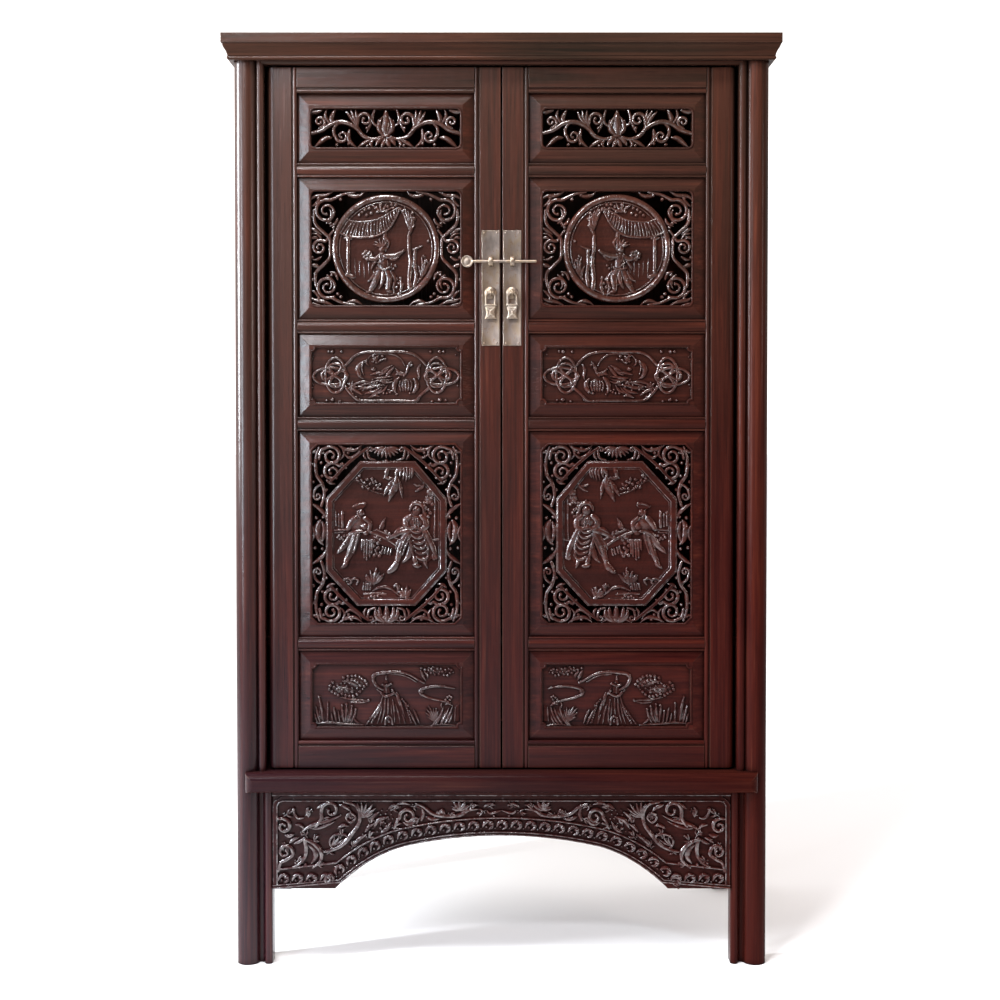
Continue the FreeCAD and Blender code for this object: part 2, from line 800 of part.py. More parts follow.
def arch_band(name, offset, width):
    """A raised line that follows the arch and its straight ends at a distance."""
    edges = arch_line(offset) + arch_line(offset + width)
    low = FreeCAD.Vector((leg_inner - c.overrun).value, (c.apron_foot_height + offset).value, 0)
    high = low + FreeCAD.Vector(0, width.value, 0)
    edges.append(Part.LineSegment(low, high).toShape())
    edges.append(Part.LineSegment(flipped(low), flipped(high)).toShape())
    face = Part.Face(Part.Wire(Part.sortEdges(edges)[0]))
    band = face.extrude(FreeCAD.Vector(0, 0, c.apron_rim_rise.value))
    return carved(name, band, nothing, nothing, apron_face)


def carved(name, shape, x, z, ground):
    """Stands a carving, drawn lying flat, on a ground that faces forward."""
    item = document.addObject("Part::Feature", name)
    item.Shape = shape
    turn = FreeCAD.Rotation(FreeCAD.Vector(1, 0, 0), 90)
    item.Placement = FreeCAD.Placement(FreeCAD.Vector(x.value, ground.value, z.value), turn)
    return item


def make_front_apron():
    """An arched board with raised lines and a row of buds over the arch."""
    foot = c.apron_foot_height
    shoulder_reach, shoulder_height = arch_mark(ARCH_SHOULDER)
    haunch_reach, haunch_height = arch_mark(ARCH_HAUNCH)
    points = [
        (-leg_inner, foot),
        (-c.arch_half_width, foot),
        Crest(-haunch_reach, haunch_height),
        (-shoulder_reach, shoulder_height),
        Crest(nothing, arch_crown),
        (shoulder_reach, shoulder_height),
        Crest(haunch_reach, haunch_height),
        (c.arch_half_width, foot),
        (leg_inner, foot),
        (leg_inner, ledge_under),
        (-leg_inner, ledge_under),
    ]
    board = section(
        "apron_board", "XZ_Plane", points, c.apron_thickness,
        (nothing, apron_face + c.apron_thickness, nothing))
    rim = c.apron_rim_width
    top_line = block(
        "apron_top_line", (-leg_inner, leg_inner), (apron_face - c.apron_rim_rise, apron_face),
        (ledge_under - rim, ledge_under))
    lower = arch_band("arch_lower_line", rim, rim)
    upper = arch_band("arch_upper_line", c.bud_row_height + rim * 2, rim)
    buds = make_buds()
    node("front_apron", fuse("apron_fused", [board, top_line, lower, upper, buds]))


def make_buds():
    """A row of round buds between the two raised lines."""
    middle = Part.Wire(arch_line(c.apron_rim_width * 2 + c.bud_row_height / 2))
    count = int(middle.Length // (1.9 * c.bud_width.value))
    spots = middle.discretize(Number=2 * count + 1)[1::2]
    buds = [Part.makeCylinder(c.bud_width.value / 2, c.apron_rim_rise.value, spot) for spot in spots]
    return carved("apron_buds", Part.makeCompound(buds), nothing, nothing, apron_face)


def make_side_aprons():
    """Boards under the bottom side rails, hollowed along their lower edge."""
    ends = ledge_under - c.side_apron_foot
    points = [
        (front_post_back, ends),
        Crest(front_post_back + side_length / 2, ledge_under - c.side_apron_middle),
        (rear_post_front, ends),
        (rear_post_front, ledge_under),
        (front_post_back, ledge_under),
    ]
    body = section(
        "side_apron_body", "YZ_Plane", points, c.board_thickness, (board_inner, nothing, nothing))
    pair("side_apron", body)


# Door frames


def make_hinge_stile():
    """A stile with a rounded outer edge, a bead inside and a pivot at each end."""
    round_radius = c.door_thickness / 2
    flat_end = panel_outer + c.door_bead_width + c.door_quirk_width
    points = [
        (hinge_axis, door_face),
        Crest(hinge_axis + round_radius, door_middle),
        (hinge_axis, door_back),
        (panel_outer, door_back),
        *beaded_edge(panel_outer, flat_end),
    ]
    height = door_head - door_foot
    body = section(
        "hinge_stile_body", "XY_Plane", points, height, (nothing, nothing, door_foot))
    reach = c.pivot_length + c.door_end_gap
    sketch = new_sketch(body, "XY_Plane", "pivot_outline")
    bind(sketch, "AttachmentOffset.Base.z", -reach)
    draw_circle(sketch, hinge_axis, door_middle, c.pivot_radius)
    pad = body.newObject("PartDesign::Pad", "pivot_pad")
    pad.Profile = sketch
    bind(pad, "Length", height + reach * 2)
    return body


def beaded_edge(edge, flat_end):
    """The groove and half-round bead from a panel's edge out to the flat face."""
    bead = c.door_bead_width
    sunk = door_face + c.door_quirk_sink
    toward = 1 if flat_end.value > edge.value else -1
    return [
        (edge, sunk),
        Crest(edge + bead * (0.5 * toward), door_face),
        (edge + bead * toward, sunk),
        (flat_end, sunk),
        (flat_end, door_face),
    ]


def make_meeting_stile():
    flat_end = panel_inner - c.door_bead_width - c.door_quirk_width
    points = [
        (door_inner, door_face),
        (door_inner, door_back),
        (panel_inner, door_back),
        *beaded_edge(panel_inner, flat_end),
    ]
    return section("meeting_stile_body", "XY_Plane", points, door_head - door_foot,
                   (nothing, nothing, door_foot))


def end_rail(name, panel_edge, outer_edge):
    """A top or bottom rail of a door, with its bead towards the panels."""
    toward = 1 if outer_edge.value > panel_edge.value else -1
    bead = c.door_bead_width
    flat_end = panel_edge + (bead + c.door_quirk_width) * toward
    sunk = door_face + c.door_quirk_sink
    points = [
        (door_back, panel_edge),
        (sunk, panel_edge),
        Crest(door_face, panel_edge + bead * (0.5 * toward)),
        (sunk, panel_edge + bead * toward),
        (sunk, flat_end),
        (door_face, flat_end),
        (door_face, outer_edge),
        (door_back, outer_edge),
    ]
    return section(name, "YZ_Plane", points, panel_outer - panel_inner,
                   (panel_inner, nothing, nothing))


def middle_rail(name, foot):
    """A rounded rail between two panels, with a thin bead on each side."""
    fillet = c.middle_rail_fillet
    head = foot + c.middle_rail_width
    front = door_face + c.middle_rail_crown
    points = [
        (door_back, foot),
        (front, foot),
        Crest(front - fillet / 2, foot + fillet / 2),
        (front, foot + fillet),
        Crest(door_face, foot + c.middle_rail_width / 2),
        (front, head - fillet),
        Crest(front - fillet / 2, head - fillet / 2),
        (front, head),
        (door_back, head),
    ]
    return section(name, "YZ_Plane", points, panel_outer - panel_inner,
                   (panel_inner, nothing, nothing))


# Carvings, drawn flat round the middle of a field and stretched to the panel. Shares of across
# count in half widths of the field, shares of up in half heights and radii in half widths.


def strand(middle, radius, start, end, width, thickness):
    """Part of a ring, from one angle to another, with rounded ends."""
    outer = radius + width / 2
    inner = max(radius - width / 2, 0)
    face = Part.Face(Part.Wire(Part.makeCircle(outer)))
    if inner > 0:
        face = face.cut(Part.Face(Part.Wire(Part.makeCircle(inner))))
    span = end - start
    if span < 360:
        away = FreeCAD.Vector(2 * outer, 0, 0)
        turn = FreeCAD.Rotation(FreeCAD.Vector(0, 0, 1), 1)
        fan = [FreeCAD.Vector(0, 0, 0)]
        steps = 4
        for index in range(steps + 1):
            turn.Angle = math.radians(start + span * index / steps)
            fan.append(turn.multVec(away))
        fan.append(fan[0])
        face = face.common(Part.Face(Part.makePolygon(fan)))
    solid = face.extrude(FreeCAD.Vector(0, 0, thickness))
    solid.translate(FreeCAD.Vector(middle[0], middle[1], 0))
    pieces = [solid]
    if span < 360:
        for angle in (start, end):
            spot = FreeCAD.Vector(
                middle[0] + radius * math.cos(math.radians(angle)),
                middle[1] + radius * math.sin(math.radians(angle)), 0)
            pieces.append(Part.makeCylinder(width / 2, thickness, spot))
    return pieces


def volute(middle, radius, start, way, width, thickness):
    """A scroll of three half turns that draws in to an eye."""
    pieces = []
    x, y = middle
    angle = start
    reach = radius
    shrink = radius * 0.3
    for turn in range(3):
        first, last = (angle, angle + 180) if way > 0 else (angle - 180, angle)
        pieces += strand((x, y), reach, first, last, width, thickness)
        angle += 180 * way
        x += shrink * math.cos(math.radians(angle))
        y += shrink * math.sin(math.radians(angle))
        reach -= shrink
        if reach < width / 2:
            break
    pieces.append(Part.makeCylinder(width * 0.7, thickness, FreeCAD.Vector(x, y, 0)))
    return pieces


def polygon(points, thickness):
    corners = [FreeCAD.Vector(x, y, 0) for x, y in points]
    return [Part.Face(Part.makePolygon(corners + corners[:1])).extrude(
        FreeCAD.Vector(0, 0, thickness))]


def oval(middle, across, up, thickness):
    """A disc stretched to its half width and half height."""
    wide = max(across, up)
    narrow = min(across, up)
    axis = (1, 0) if across >= up else (0, 1)
    ellipse = Part.Ellipse(
        FreeCAD.Vector(wide * axis[0], wide * axis[1], 0),
        FreeCAD.Vector(-narrow * axis[1], narrow * axis[0], 0), FreeCAD.Vector(0, 0, 0))
    face = Part.Face(Part.Wire(ellipse.toShape()))
    solid = face.extrude(FreeCAD.Vector(0, 0, thickness))
    solid.translate(FreeCAD.Vector(middle[0], middle[1], 0))
    return [solid]


class Field:
    """The opening or ground of a panel of this width and height, as plain numbers."""

    def __init__(self, panel_width, panel_height):
        rim = (c.bevel_width + c.field_bead_width).value
        self.half_width = panel_width.value / 2 - rim
        self.half_height = panel_height.value / 2 - rim
        self.width = c.strand_width.value

    def spot(self, across, up):
        return across * self.half_width, up * self.half_height

    def length(self, share):
        return share * self.half_width


def scroll_carving(field, thickness):
    """A lotus in the middle and three scrolls on each side of it."""
    scroll_shares = [(0.26, 0.46, 0.13, 90, 1), (0.57, -0.48, 0.13, 270, 1), (0.85, 0.46, 0.13, 90, 1)]
    petal_shares = [(0, 0, 0.05, 1), (0.1, -0.35, 0.09, 0.6)]
    stem_shares = [(0.41, 0.95, 0.2, 200, 330), (0.72, -1.1, 0.2, 40, 150), (0.15, -0.75, 0.12, 180, 350)]
    pieces = []
    for side in (1, -1):
        for across, up, radius, start, way in scroll_shares:
            angle = start if side > 0 else 180 - start
            pieces += volute(
                field.spot(across * side, up), field.length(radius), angle, way * side,
                field.width, thickness)
        for across, up, radius, start, end in stem_shares:
            first, last = (start, end) if side > 0 else (180 - end, 180 - start)
            pieces += strand(
                field.spot(across * side, up), field.length(radius), first, last,
                field.width, thickness)
        for across, up, wide, tall in petal_shares:
            pieces += oval(
                field.spot(across * side, up), field.length(wide), tall * field.half_height, thickness)
        pieces += strand(
            field.spot(0.98 * side, 0), field.length(0.07), 0, 359.9, field.width, thickness)
    return pieces


def medallion_carving(field, thickness):
    """A round frame on a solid ground with a pavilion garden, and pierced scrolls outside it."""
    ring = field.half_height - field.width * 0.9
    ground = thickness - c.relief_rise.value
    scroll_shares = [(0.78, 0.68, 0.13, 300, 1), (0.84, 0.02, 0.11, 180, 1), (0.78, -0.68, 0.13, 60, -1)]
    stem_shares = [(0.93, 0.36, 0.1, 60, 270), (0.93, -0.33, 0.1, 90, 300)]
    pieces = strand((0, 0), ring, 0, 360, field.width * 2, thickness)
    pieces.append(Part.makeCylinder(ring, ground))
    for side in (1, -1):
        for across, up, radius, start, way in scroll_shares:
            angle = start if side > 0 else 180 - start
            pieces += volute(
                field.spot(across * side, up), field.length(radius), angle, way * side,
                field.width, thickness)
        for across, up, radius, start, end in stem_shares:
            first, last = (start, end) if side > 0 else (180 - end, 180 - start)
            pieces += strand(
                field.spot(across * side, up), field.length(radius), first, last,
                field.width, thickness)
        for across, up in ((0.93, 0.8), (0.93, -0.8)):
            pieces += oval(
                field.spot(across * side, up), field.width * 1.7, field.width * 1.6, thickness)
    roof_shares = [(0.52, 0.42), (0.4, 0.56), (0.1, 0.62), (0.0, 0.82), (-0.1, 0.62),
                   (-0.16, 0.5), (-0.1, 0.4), (0.4, 0.36)]
    pieces += polygon([field.spot(*share) for share in roof_shares], thickness)
    column_shares = [(0.42, 0.03), (0.06, 0.03)]
    for across, half in column_shares:
        pieces += polygon([
            field.spot(across - half, -0.62), field.spot(across + half, -0.62),
            field.spot(across + half, 0.45), field.spot(across - half, 0.45)], thickness)
    bank_shares = [(-0.58, -0.5), (0.58, -0.5), (0.4, -0.8), (-0.4, -0.8)]
    pieces += polygon([field.spot(*share) for share in bank_shares], thickness)
    trunk_shares = [(-0.36, -0.55), (-0.26, -0.55), (-0.3, 0.1), (-0.2, 0.5), (-0.28, 0.78), (-0.4, 0.1)]
    pieces += polygon([field.spot(*share) for share in trunk_shares], thickness)
    pieces += figure(field, 0.22, -0.2, 0.38, thickness)
    return pieces


def figure(field, across, up, tall, thickness):
    """A plainly robed figure: a gown, a head, a collar and two sleeves."""
    x, y = field.spot(across, up)
    half = tall * field.half_height
    gown = [(x - 0.42 * half, y - half), (x + 0.42 * half, y - half),
            (x + 0.26 * half, y + 0.45 * half), (x - 0.26 * half, y + 0.45 * half)]
    pieces = polygon(gown, thickness)
    pieces += oval((x, y + 0.68 * half), 0.2 * half, 0.27 * half, thickness)
    for side in (1, -1):
        pieces += oval((x + side * 0.36 * half, y + 0.05 * half), 0.24 * half, 0.2 * half, thickness)
    return pieces


def knot_carving(field, thickness):
    """An eight-sided frame round fruit, with interlaced rings on each side of it."""
    frame_shares = [(0.42, 0.8), (0.56, 0.42), (0.56, -0.42), (0.42, -0.8)]
    outline = [field.spot(*share) for share in frame_shares]
    outline += [(-x, y) for x, y in reversed(outline)]
    inset = field.width
    inner = [
        (x - math.copysign(inset, x), y - math.copysign(inset * 0.7, y)) for x, y in outline
    ]
    pieces = [polygon(outline, thickness)[0].cut(polygon(inner, thickness)[0])]
    ring_share = 0.11
    for side in (1, -1):
        for up in (-0.32, 0.32):
            for shift in (-0.06, 0.06):
                pieces += strand(
                    field.spot(side * (0.76 + shift), up), field.length(ring_share), 0, 360,
                    field.width * 0.6, thickness)
        for up in (-0.92, 0.92):
            for shift in (-0.06, 0, 0.06):
                x, y = field.spot(side * (0.74 + shift), up)
                pieces.append(Part.makeCylinder(
                    field.width * 0.35, thickness, FreeCAD.Vector(x, y, 0)))
    fruit_shares = [(-0.2, 0.05, 0.12), (0.02, -0.1, 0.15), (0.24, 0.08, 0.11)]
    for across, up, radius in fruit_shares:
        pieces += oval(
            field.spot(across, up), field.length(radius), field.length(radius) * 0.8, thickness)
    return pieces


def figure_carving(field, thickness):
    """Two figures at a table on a solid eight-sided ground, with pierced scrolls round it."""
    frame_shares = [(0.37, 0.82), (0.79, 0.42), (0.79, -0.42), (0.37, -0.82)]
    outline = [field.spot(*share) for share in frame_shares]
    outline += [(-x, y) for x, y in reversed(outline)]
    shrink = 1 - 1.5 * field.width / field.half_width
    inner = [(x * shrink, y * shrink) for x, y in outline]
    pieces = [polygon(outline, thickness)[0].cut(polygon(inner, thickness)[0])]
    pieces += polygon(outline, thickness - c.relief_rise.value)
    scroll_shares = [(0.8, 0.91, 0.12, 60, 1), (0.8, 0.68, 0.11, 60, -1)]
    for side in (1, -1):
        for end in (1, -1):
            for across, up, radius, start, way in scroll_shares:
                x, y = field.spot(across * side, up * end)
                angle = start if side > 0 else 180 - start
                angle = angle if end > 0 else -angle
                pieces += volute(
                    (x, y), field.length(radius), angle, way * side * end,
                    field.width, thickness)
            pieces += oval(field.spot(0.95 * side, 0.8 * end), field.width * 1.2,
                           field.width * 3, thickness)
            pieces += oval(field.spot(0.6 * side, 0.97 * end), field.width * 3,
                           field.width * 0.9, thickness)
        pieces += oval(field.spot(0.9 * side, 0), field.length(0.12), field.width * 1.6, thickness)
        pieces += oval(field.spot(0, 0.91 * side), field.width * 1.4,
                       field.half_height * 0.1, thickness)
    bank_shares = [(-0.7, -0.45), (0.7, -0.45), (0.55, -0.62), (-0.55, -0.62)]
    pieces += polygon([field.spot(*share) for share in bank_shares], thickness)
    table_shares = [(-0.14, -0.05), (0.18, -0.05), (0.18, 0.0), (-0.14, 0.0)]
    pieces += polygon([field.spot(*share) for share in table_shares], thickness)
    for across in (-0.1, 0.14):
        pieces += polygon([
            field.spot(across - 0.02, -0.5), field.spot(across + 0.02, -0.5),
            field.spot(across + 0.02, -0.02), field.spot(across - 0.02, -0.02)], thickness)
    branch_shares = [(-0.5, 0.6), (0.45, 0.74), (0.45, 0.62), (-0.4, 0.5)]
    pieces += polygon([field.spot(*share) for share in branch_shares], thickness)
    pieces += figure(field, -0.34, -0.12, 0.36, thickness)
    pieces += figure(field, 0.4, -0.1, 0.36, thickness)
    trunk_shares = [(0.58, -0.5), (0.7, -0.5), (0.6, 0.2), (0.5, 0.7), (0.4, 0.7), (0.52, 0.2)]
    pieces += polygon([field.spot(*share) for share in trunk_shares], thickness)
    return pieces


def landscape_carving(field, thickness):
    """A pavilion on a hill with clouds, a pine and plants."""
    hill_shares = [(-0.7, -0.95), (0.75, -0.95), (0.4, -0.55), (0.1, -0.1), (-0.1, -0.1), (-0.3, -0.5)]
    roof_shares = [(-0.16, 0.05), (0.2, 0.05), (0.02, 0.42)]
    trunk_shares = [(-0.62, -0.9), (-0.54, -0.9), (-0.5, 0.1), (-0.56, 0.1)]
    pieces = []
    for shares in (hill_shares, roof_shares, trunk_shares):
        pieces += polygon([field.spot(*share) for share in shares], thickness)
    pieces += polygon([
        field.spot(-0.08, -0.2), field.spot(0.12, -0.2), field.spot(0.12, 0.1),
        field.spot(-0.08, 0.1)], thickness)
    oval_shares = [(-0.55, 0.3, 0.17), (-0.7, 0.0, 0.13), (-0.4, 0.05, 0.13), (0.62, 0.5, 0.15),
                   (0.8, 0.35, 0.1), (0.55, -0.2, 0.14), (0.75, -0.35, 0.12)]
    for across, up, wide in oval_shares:
        pieces += oval(
            field.spot(across, up), field.length(wide), field.length(wide) * 0.55, thickness)
    pieces += volute(field.spot(-0.18, 0.62), field.length(0.12), 0, 1, field.width * 0.6, thickness)
    cloud_shares = [(0.0, 0.5), (0.5, 0.62), (0.5, 0.74), (0.0, 0.66)]
    pieces += polygon([field.spot(*share) for share in cloud_shares], thickness)
    return pieces


# Door panels


def stretched(carving, drawn, real):
    """Fits a carving from the field it was drawn for to the real one."""
    across = real.half_width / drawn.half_width
    up = real.half_height / drawn.half_height
    if abs(across - 1) < 1e-6 and abs(up - 1) < 1e-6:
        return carving
    stretch = FreeCAD.Matrix()
    stretch.scale(FreeCAD.Vector(across, up, 1))
    return carving.transformGeometry(stretch)


def carved_panel(name, foot, height, part, carving, pierced, notched=False):
    """A panel with a bevelled border, a small bead and a carved field."""
    head = foot + height
    rim = block(f"{name}_rim", (panel_inner, panel_outer), (panel_front, panel_back), (foot, head))
    bevel = document.addObject("Part::Wedge", f"{name}_bevel")
    width = panel_outer - panel_inner
    slope = c.bevel_width
    for path, size in (
            ("Xmin", slope), ("Xmax", width - slope), ("Ymin", nothing), ("Ymax", c.bevel_rise),
            ("Zmin", slope), ("Zmax", height - slope), ("X2min", nothing), ("X2max", width),
            ("Z2min", nothing), ("Z2max", height)):
        bind(bevel, path, size)
    place(bevel, panel_inner, field_front, foot)
    bead = block(
        f"{name}_bead", (panel_inner + slope, panel_outer - slope),
        (field_bead_front, panel_front), (foot + slope, head - slope))
    solid = fuse(f"{name}_blank", [rim, bevel, bead])
    border = slope + c.field_bead_width
    ground = panel_back + c.overrun if pierced else panel_front
    opening = block(
        f"{name}_opening", (panel_inner + border, panel_outer - border),
        (field_bead_front - c.overrun, ground), (foot + border, head - border))
    frame = cut(f"{name}_frame", solid, opening)
    field = Field(c.drawn_panel_width, part)
    if pierced:
        thickness = c.fret_thickness
        ground = field_front + thickness
    else:
        thickness = c.relief_rise
    pieces = carving(field, thickness.value)
    if notched:
        size = c.corner_notch.value
        for across in (1, -1):
            for up in (1, -1):
                corner = Part.makeBox(size, size, thickness.value)
                corner.translate(FreeCAD.Vector(
                    across * (field.half_width - size / 2) - size / 2,
                    up * (field.half_height - size / 2) - size / 2, 0))
                pieces.append(corner)
    limit = Part.makeBox(2 * field.half_width, 2 * field.half_height, thickness.value)
    limit.translate(FreeCAD.Vector(-field.half_width, -field.half_height, 0))
    flat = pieces[0].multiFuse(pieces[1:]).common(limit).removeSplitter()
    flat = stretched(flat, field, Field(width, height))
    middle = (panel_outer + panel_inner) / 2
    work = carved(f"{name}_carving", flat, middle, foot + height / 2, ground)
    return fuse(f"{name}_whole", [frame, work])


def make_doors():
    """Both doors: their frames and their panels from the bottom to the top."""
    pair("door_hinge_stile", make_hinge_stile())
    pair("door_meeting_stile", make_meeting_stile())
    top_edge = door_head - c.door_top_rail_height
    bottom_edge = door_foot + c.door_bottom_rail_height
    pair("door_top_rail", end_rail("top_rail_body", top_edge, door_head))
    pair("door_bottom_rail", end_rail("bottom_rail_body", bottom_edge, door_foot))
    rail = c.middle_rail_width
    panels = (
        ("landscape", c.landscape_panel_part, landscape_carving, False),
        ("figure", c.figure_panel_part, figure_carving, True),
        ("knot", c.knot_panel_part, knot_carving, False),
        ("medallion", c.medallion_panel_part, medallion_carving, True),
        ("scroll", c.scroll_panel_part, scroll_carving, True),
    )
    parts = c.figure_panel_part
    for part in (c.landscape_panel_part, c.knot_panel_part, c.medallion_panel_part,
                 c.scroll_panel_part):
        parts = parts + part
    filled = top_edge - bottom_edge - rail * 4
    foot = bottom_edge
    rails = []
    for name, part, carving, pierced in panels:
        height = filled * part / parts
        panel = carved_panel(name, foot, height, part, carving, pierced, not pierced)
        pair(f"{name}_panel", panel)
        foot = foot + height
        if name != "scroll":
            rails.append(middle_rail(f"{name}_rail_body", foot))
            foot = foot + rail
    pair("door_middle_rails", group("middle_rail_group", rails))


# Brass


def dome(name, x, z, radius, rise, face):
    """A low round dome that stands on a face towards -Y."""
    ball_radius = (radius * radius + rise * rise) / (rise * 2)
    ball = document.addObject("Part::Sphere", f"{name}_ball")
    bind(ball, "Radius", ball_radius)
    place(ball, x, face + ball_radius - rise, z)
    slab = block(
        f"{name}_slab", (x - radius - c.overrun, x + radius + c.overrun), (face - rise - c.overrun, face),
        (z - radius - c.overrun, z + radius + c.overrun))
    return common(name, ball, slab)


def make_lock_plates():
    foot = c.plate_foot_height
    plate = block(
        "lock_plate_block", (plate_inner, plate_inner + c.plate_width), (plate_face, door_face),
        (foot, foot + c.plate_length))
    pair("lock_plate", plate)
    tacks = []
    inset = c.tack_inset
    for x in (plate_inner + inset, plate_inner + c.plate_width - inset):
        for z in (foot + inset, foot + c.plate_length - inset):
            tacks.append(dome("tack", x, z, c.tack_radius, c.tack_rise, plate_face))
    pair("plate_tacks", group("tack_group", tacks))


def make_pin_staples():
    """A flat lug with a hole for the lock pin, rounded at the front."""
    half = c.staple_height / 2
    shoulder = plate_face - c.staple_reach + half
    points = [
        (plate_face, c.pin_height - half),
        (plate_face, c.pin_height + half),
        (shoulder, c.pin_height + half),
        Crest(plate_face - c.staple_reach, c.pin_height),
        (shoulder, c.pin_height - half),
    ]
    hole = (pin_axis, c.pin_height, c.pin_radius + c.pin_clearance)
    lug = section(
        "pin_staple_body", "YZ_Plane", points, c.staple_width,
        (plate_middle - c.staple_width / 2, nothing, nothing), holes=[hole])
    pair("pin_staple", lug)


def make_lock_pin():
    """A rod with a disc head at its left end, pushed through both staples."""
    rod_start = -c.pin_head_reach
    shaft = rod("pin_shaft", c.pin_radius, c.pin_tip_reach - rod_start, "x",
                rod_start, pin_axis, c.pin_height)
    tip = document.addObject("Part::Sphere", "pin_tip")
    bind(tip, "Radius", c.pin_radius)
    place(tip, c.pin_tip_reach, pin_axis, c.pin_height)
    back = pin_axis + c.pin_head_thickness / 2
    head = rod("pin_head", c.pin_head_radius, c.pin_head_thickness, "y", rod_start, back, c.pin_height)
    face = pin_axis - c.pin_head_thickness / 4
    hollow = rod("pin_head_hollow", c.pin_head_radius - c.pin_head_rim, c.pin_head_thickness, "y",
                 rod_start, face, c.pin_height)
    disc = cut("pin_disc", head, hollow)
    shaft_root = rod_start + c.pin_head_radius - c.pin_head_rim / 2
    shaft_clear = block(
        "pin_shaft_clear", (rod_start - c.pin_head_radius, shaft_root),
        (pin_axis - c.pin_head_radius, pin_axis + c.pin_head_radius),
        (c.pin_height - c.pin_head_radius, c.pin_height + c.pin_head_radius))
    shaft_end = cut("pin_shaft_end", shaft, shaft_clear)
    node("lock_pin", fuse("lock_pin_fused", [shaft_end, tip, disc]))


def make_pull_staples():
    """A domed boss with an eye that carries a pull."""
    boss = dome("pull_boss", plate_middle, c.pull_height, c.boss_radius, c.boss_rise, plate_face)
    eye = document.addObject("Part::Torus", "pull_eye")
    bind(eye, "Radius1", c.eye_hole + c.eye_wire)
    bind(eye, "Radius2", c.eye_wire)
    eye.Placement.Rotation = FreeCAD.Rotation(FreeCAD.Vector(0, 1, 0), 90)
    place(eye, plate_middle, pull_axis, c.pull_height)
    shank_front = pull_axis + c.eye_hole + c.eye_wire
    shank = rod("pull_shank", c.eye_wire, plate_face - shank_front, "y",
                plate_middle, plate_face, c.pull_height)
    pair("pull_staple", fuse("pull_staple_fused", [boss, eye, shank]))


def make_pulls():
    """An arched loop with a round knuckle in its eye and a waisted pendant below."""
    x = plate_middle
    outer = c.pull_arch_radius + c.pull_bar / 2
    inner = c.pull_arch_radius - c.pull_bar / 2
    middle = c.pull_height - c.pull_arch_radius
    legs = middle - c.pull_arch_drop
    foot = legs - c.pull_foot_height
    pendant = foot - c.pull_groove
    waist = pendant - c.pendant_height / 2
    end = pendant - c.pendant_height
    wide = c.pendant_width / 2
    neck = c.pendant_waist / 2
    foot_half = c.pull_foot_width / 2
    points = [
        (x + outer, middle),
        Crest(x, middle + outer),
        (x - outer, middle),
        (x - outer, legs),
        (x - foot_half, foot),
        (x - neck, foot),
        (x - neck, pendant),
        (x - wide, pendant),
        Crest(x - neck, waist),
        (x - wide, end),
        (x + wide, end),
        Crest(x + neck, waist),
        (x + wide, pendant),
        (x + neck, pendant),
        (x + neck, foot),
        (x + foot_half, foot),
        (x + outer, legs),
    ]
    body = section(
        "pull_body", "XZ_Plane", points, c.pull_thickness,
        (nothing, pull_axis + c.pull_thickness / 2, nothing))
    loop = [
        (x + inner, middle),
        Crest(x, middle + inner),
        (x - inner, middle),
        (x - inner, legs),
        (x + inner, legs),
    ]
    pocket(body, "pull_loop", "XZ_Plane", outlines=[loop], forward=True)
    knuckle = rod("pull_knuckle", c.pull_knuckle_radius, c.pull_knuckle_length, "x",
                  x - c.pull_knuckle_length / 2, pull_axis, c.pull_height)
    pair("pull", fuse("pull_whole", [body, knuckle]))


front_posts = make_front_posts()
make_rear_posts()
make_front_top_rail()
make_jamb_beads()
make_front_bottom_rail(front_posts)
make_side_rails()
make_side_panels()
make_back()
make_cornice()
make_shelves()
make_front_apron()
make_side_aprons()
make_doors()
make_lock_plates()
make_pin_staples()
make_lock_pin()
make_pull_staples()
make_pulls()
document.recompute()

for item in document.Objects:
    for state in item.State:
        if state in ("Invalid", "Error"):
            raise RuntimeError(f"{item.Name} did not recompute")
os.makedirs("parts", exist_ok=True)
for item in nodes:
    shape = item.Shape
    if shape.isNull() or not shape.isValid() or not shape.Solids:
        raise RuntimeError(f"{item.Label} has no sound solid")
for item in nodes:
    item.Shape.exportStep(f"parts/{item.Label}.step")
print(len(nodes), "sub-parts written")
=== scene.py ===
import math
import bpy
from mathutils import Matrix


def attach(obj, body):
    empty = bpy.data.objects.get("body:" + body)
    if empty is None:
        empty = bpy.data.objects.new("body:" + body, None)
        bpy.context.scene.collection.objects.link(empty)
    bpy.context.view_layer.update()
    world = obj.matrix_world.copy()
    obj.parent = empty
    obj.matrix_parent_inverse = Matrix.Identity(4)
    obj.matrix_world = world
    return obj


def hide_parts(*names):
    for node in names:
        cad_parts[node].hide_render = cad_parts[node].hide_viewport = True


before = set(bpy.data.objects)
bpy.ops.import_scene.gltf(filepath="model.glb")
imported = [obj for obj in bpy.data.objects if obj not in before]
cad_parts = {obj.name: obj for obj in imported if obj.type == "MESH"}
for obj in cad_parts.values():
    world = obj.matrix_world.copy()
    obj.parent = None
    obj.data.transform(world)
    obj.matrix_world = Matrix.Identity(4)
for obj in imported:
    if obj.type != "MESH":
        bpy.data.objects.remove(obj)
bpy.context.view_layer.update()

# Room: a camera in front of the doors that looks down a little, a pale floor and soft studio light.
# A window on the left gives the long bright lines on the beads, and the right stays dim.

scene = bpy.context.scene
scene.view_settings.view_transform = "Standard"
bpy.ops.object.camera_add(location=(0, -3.045, 1.115), rotation=(math.pi / 2 - 0.022, 0, 0))
camera = bpy.context.object
camera.data.lens = 50.95
camera.data.sensor_width = 36
camera.data.shift_x = -0.0015
camera.data.shift_y = -0.0625
scene.camera = camera


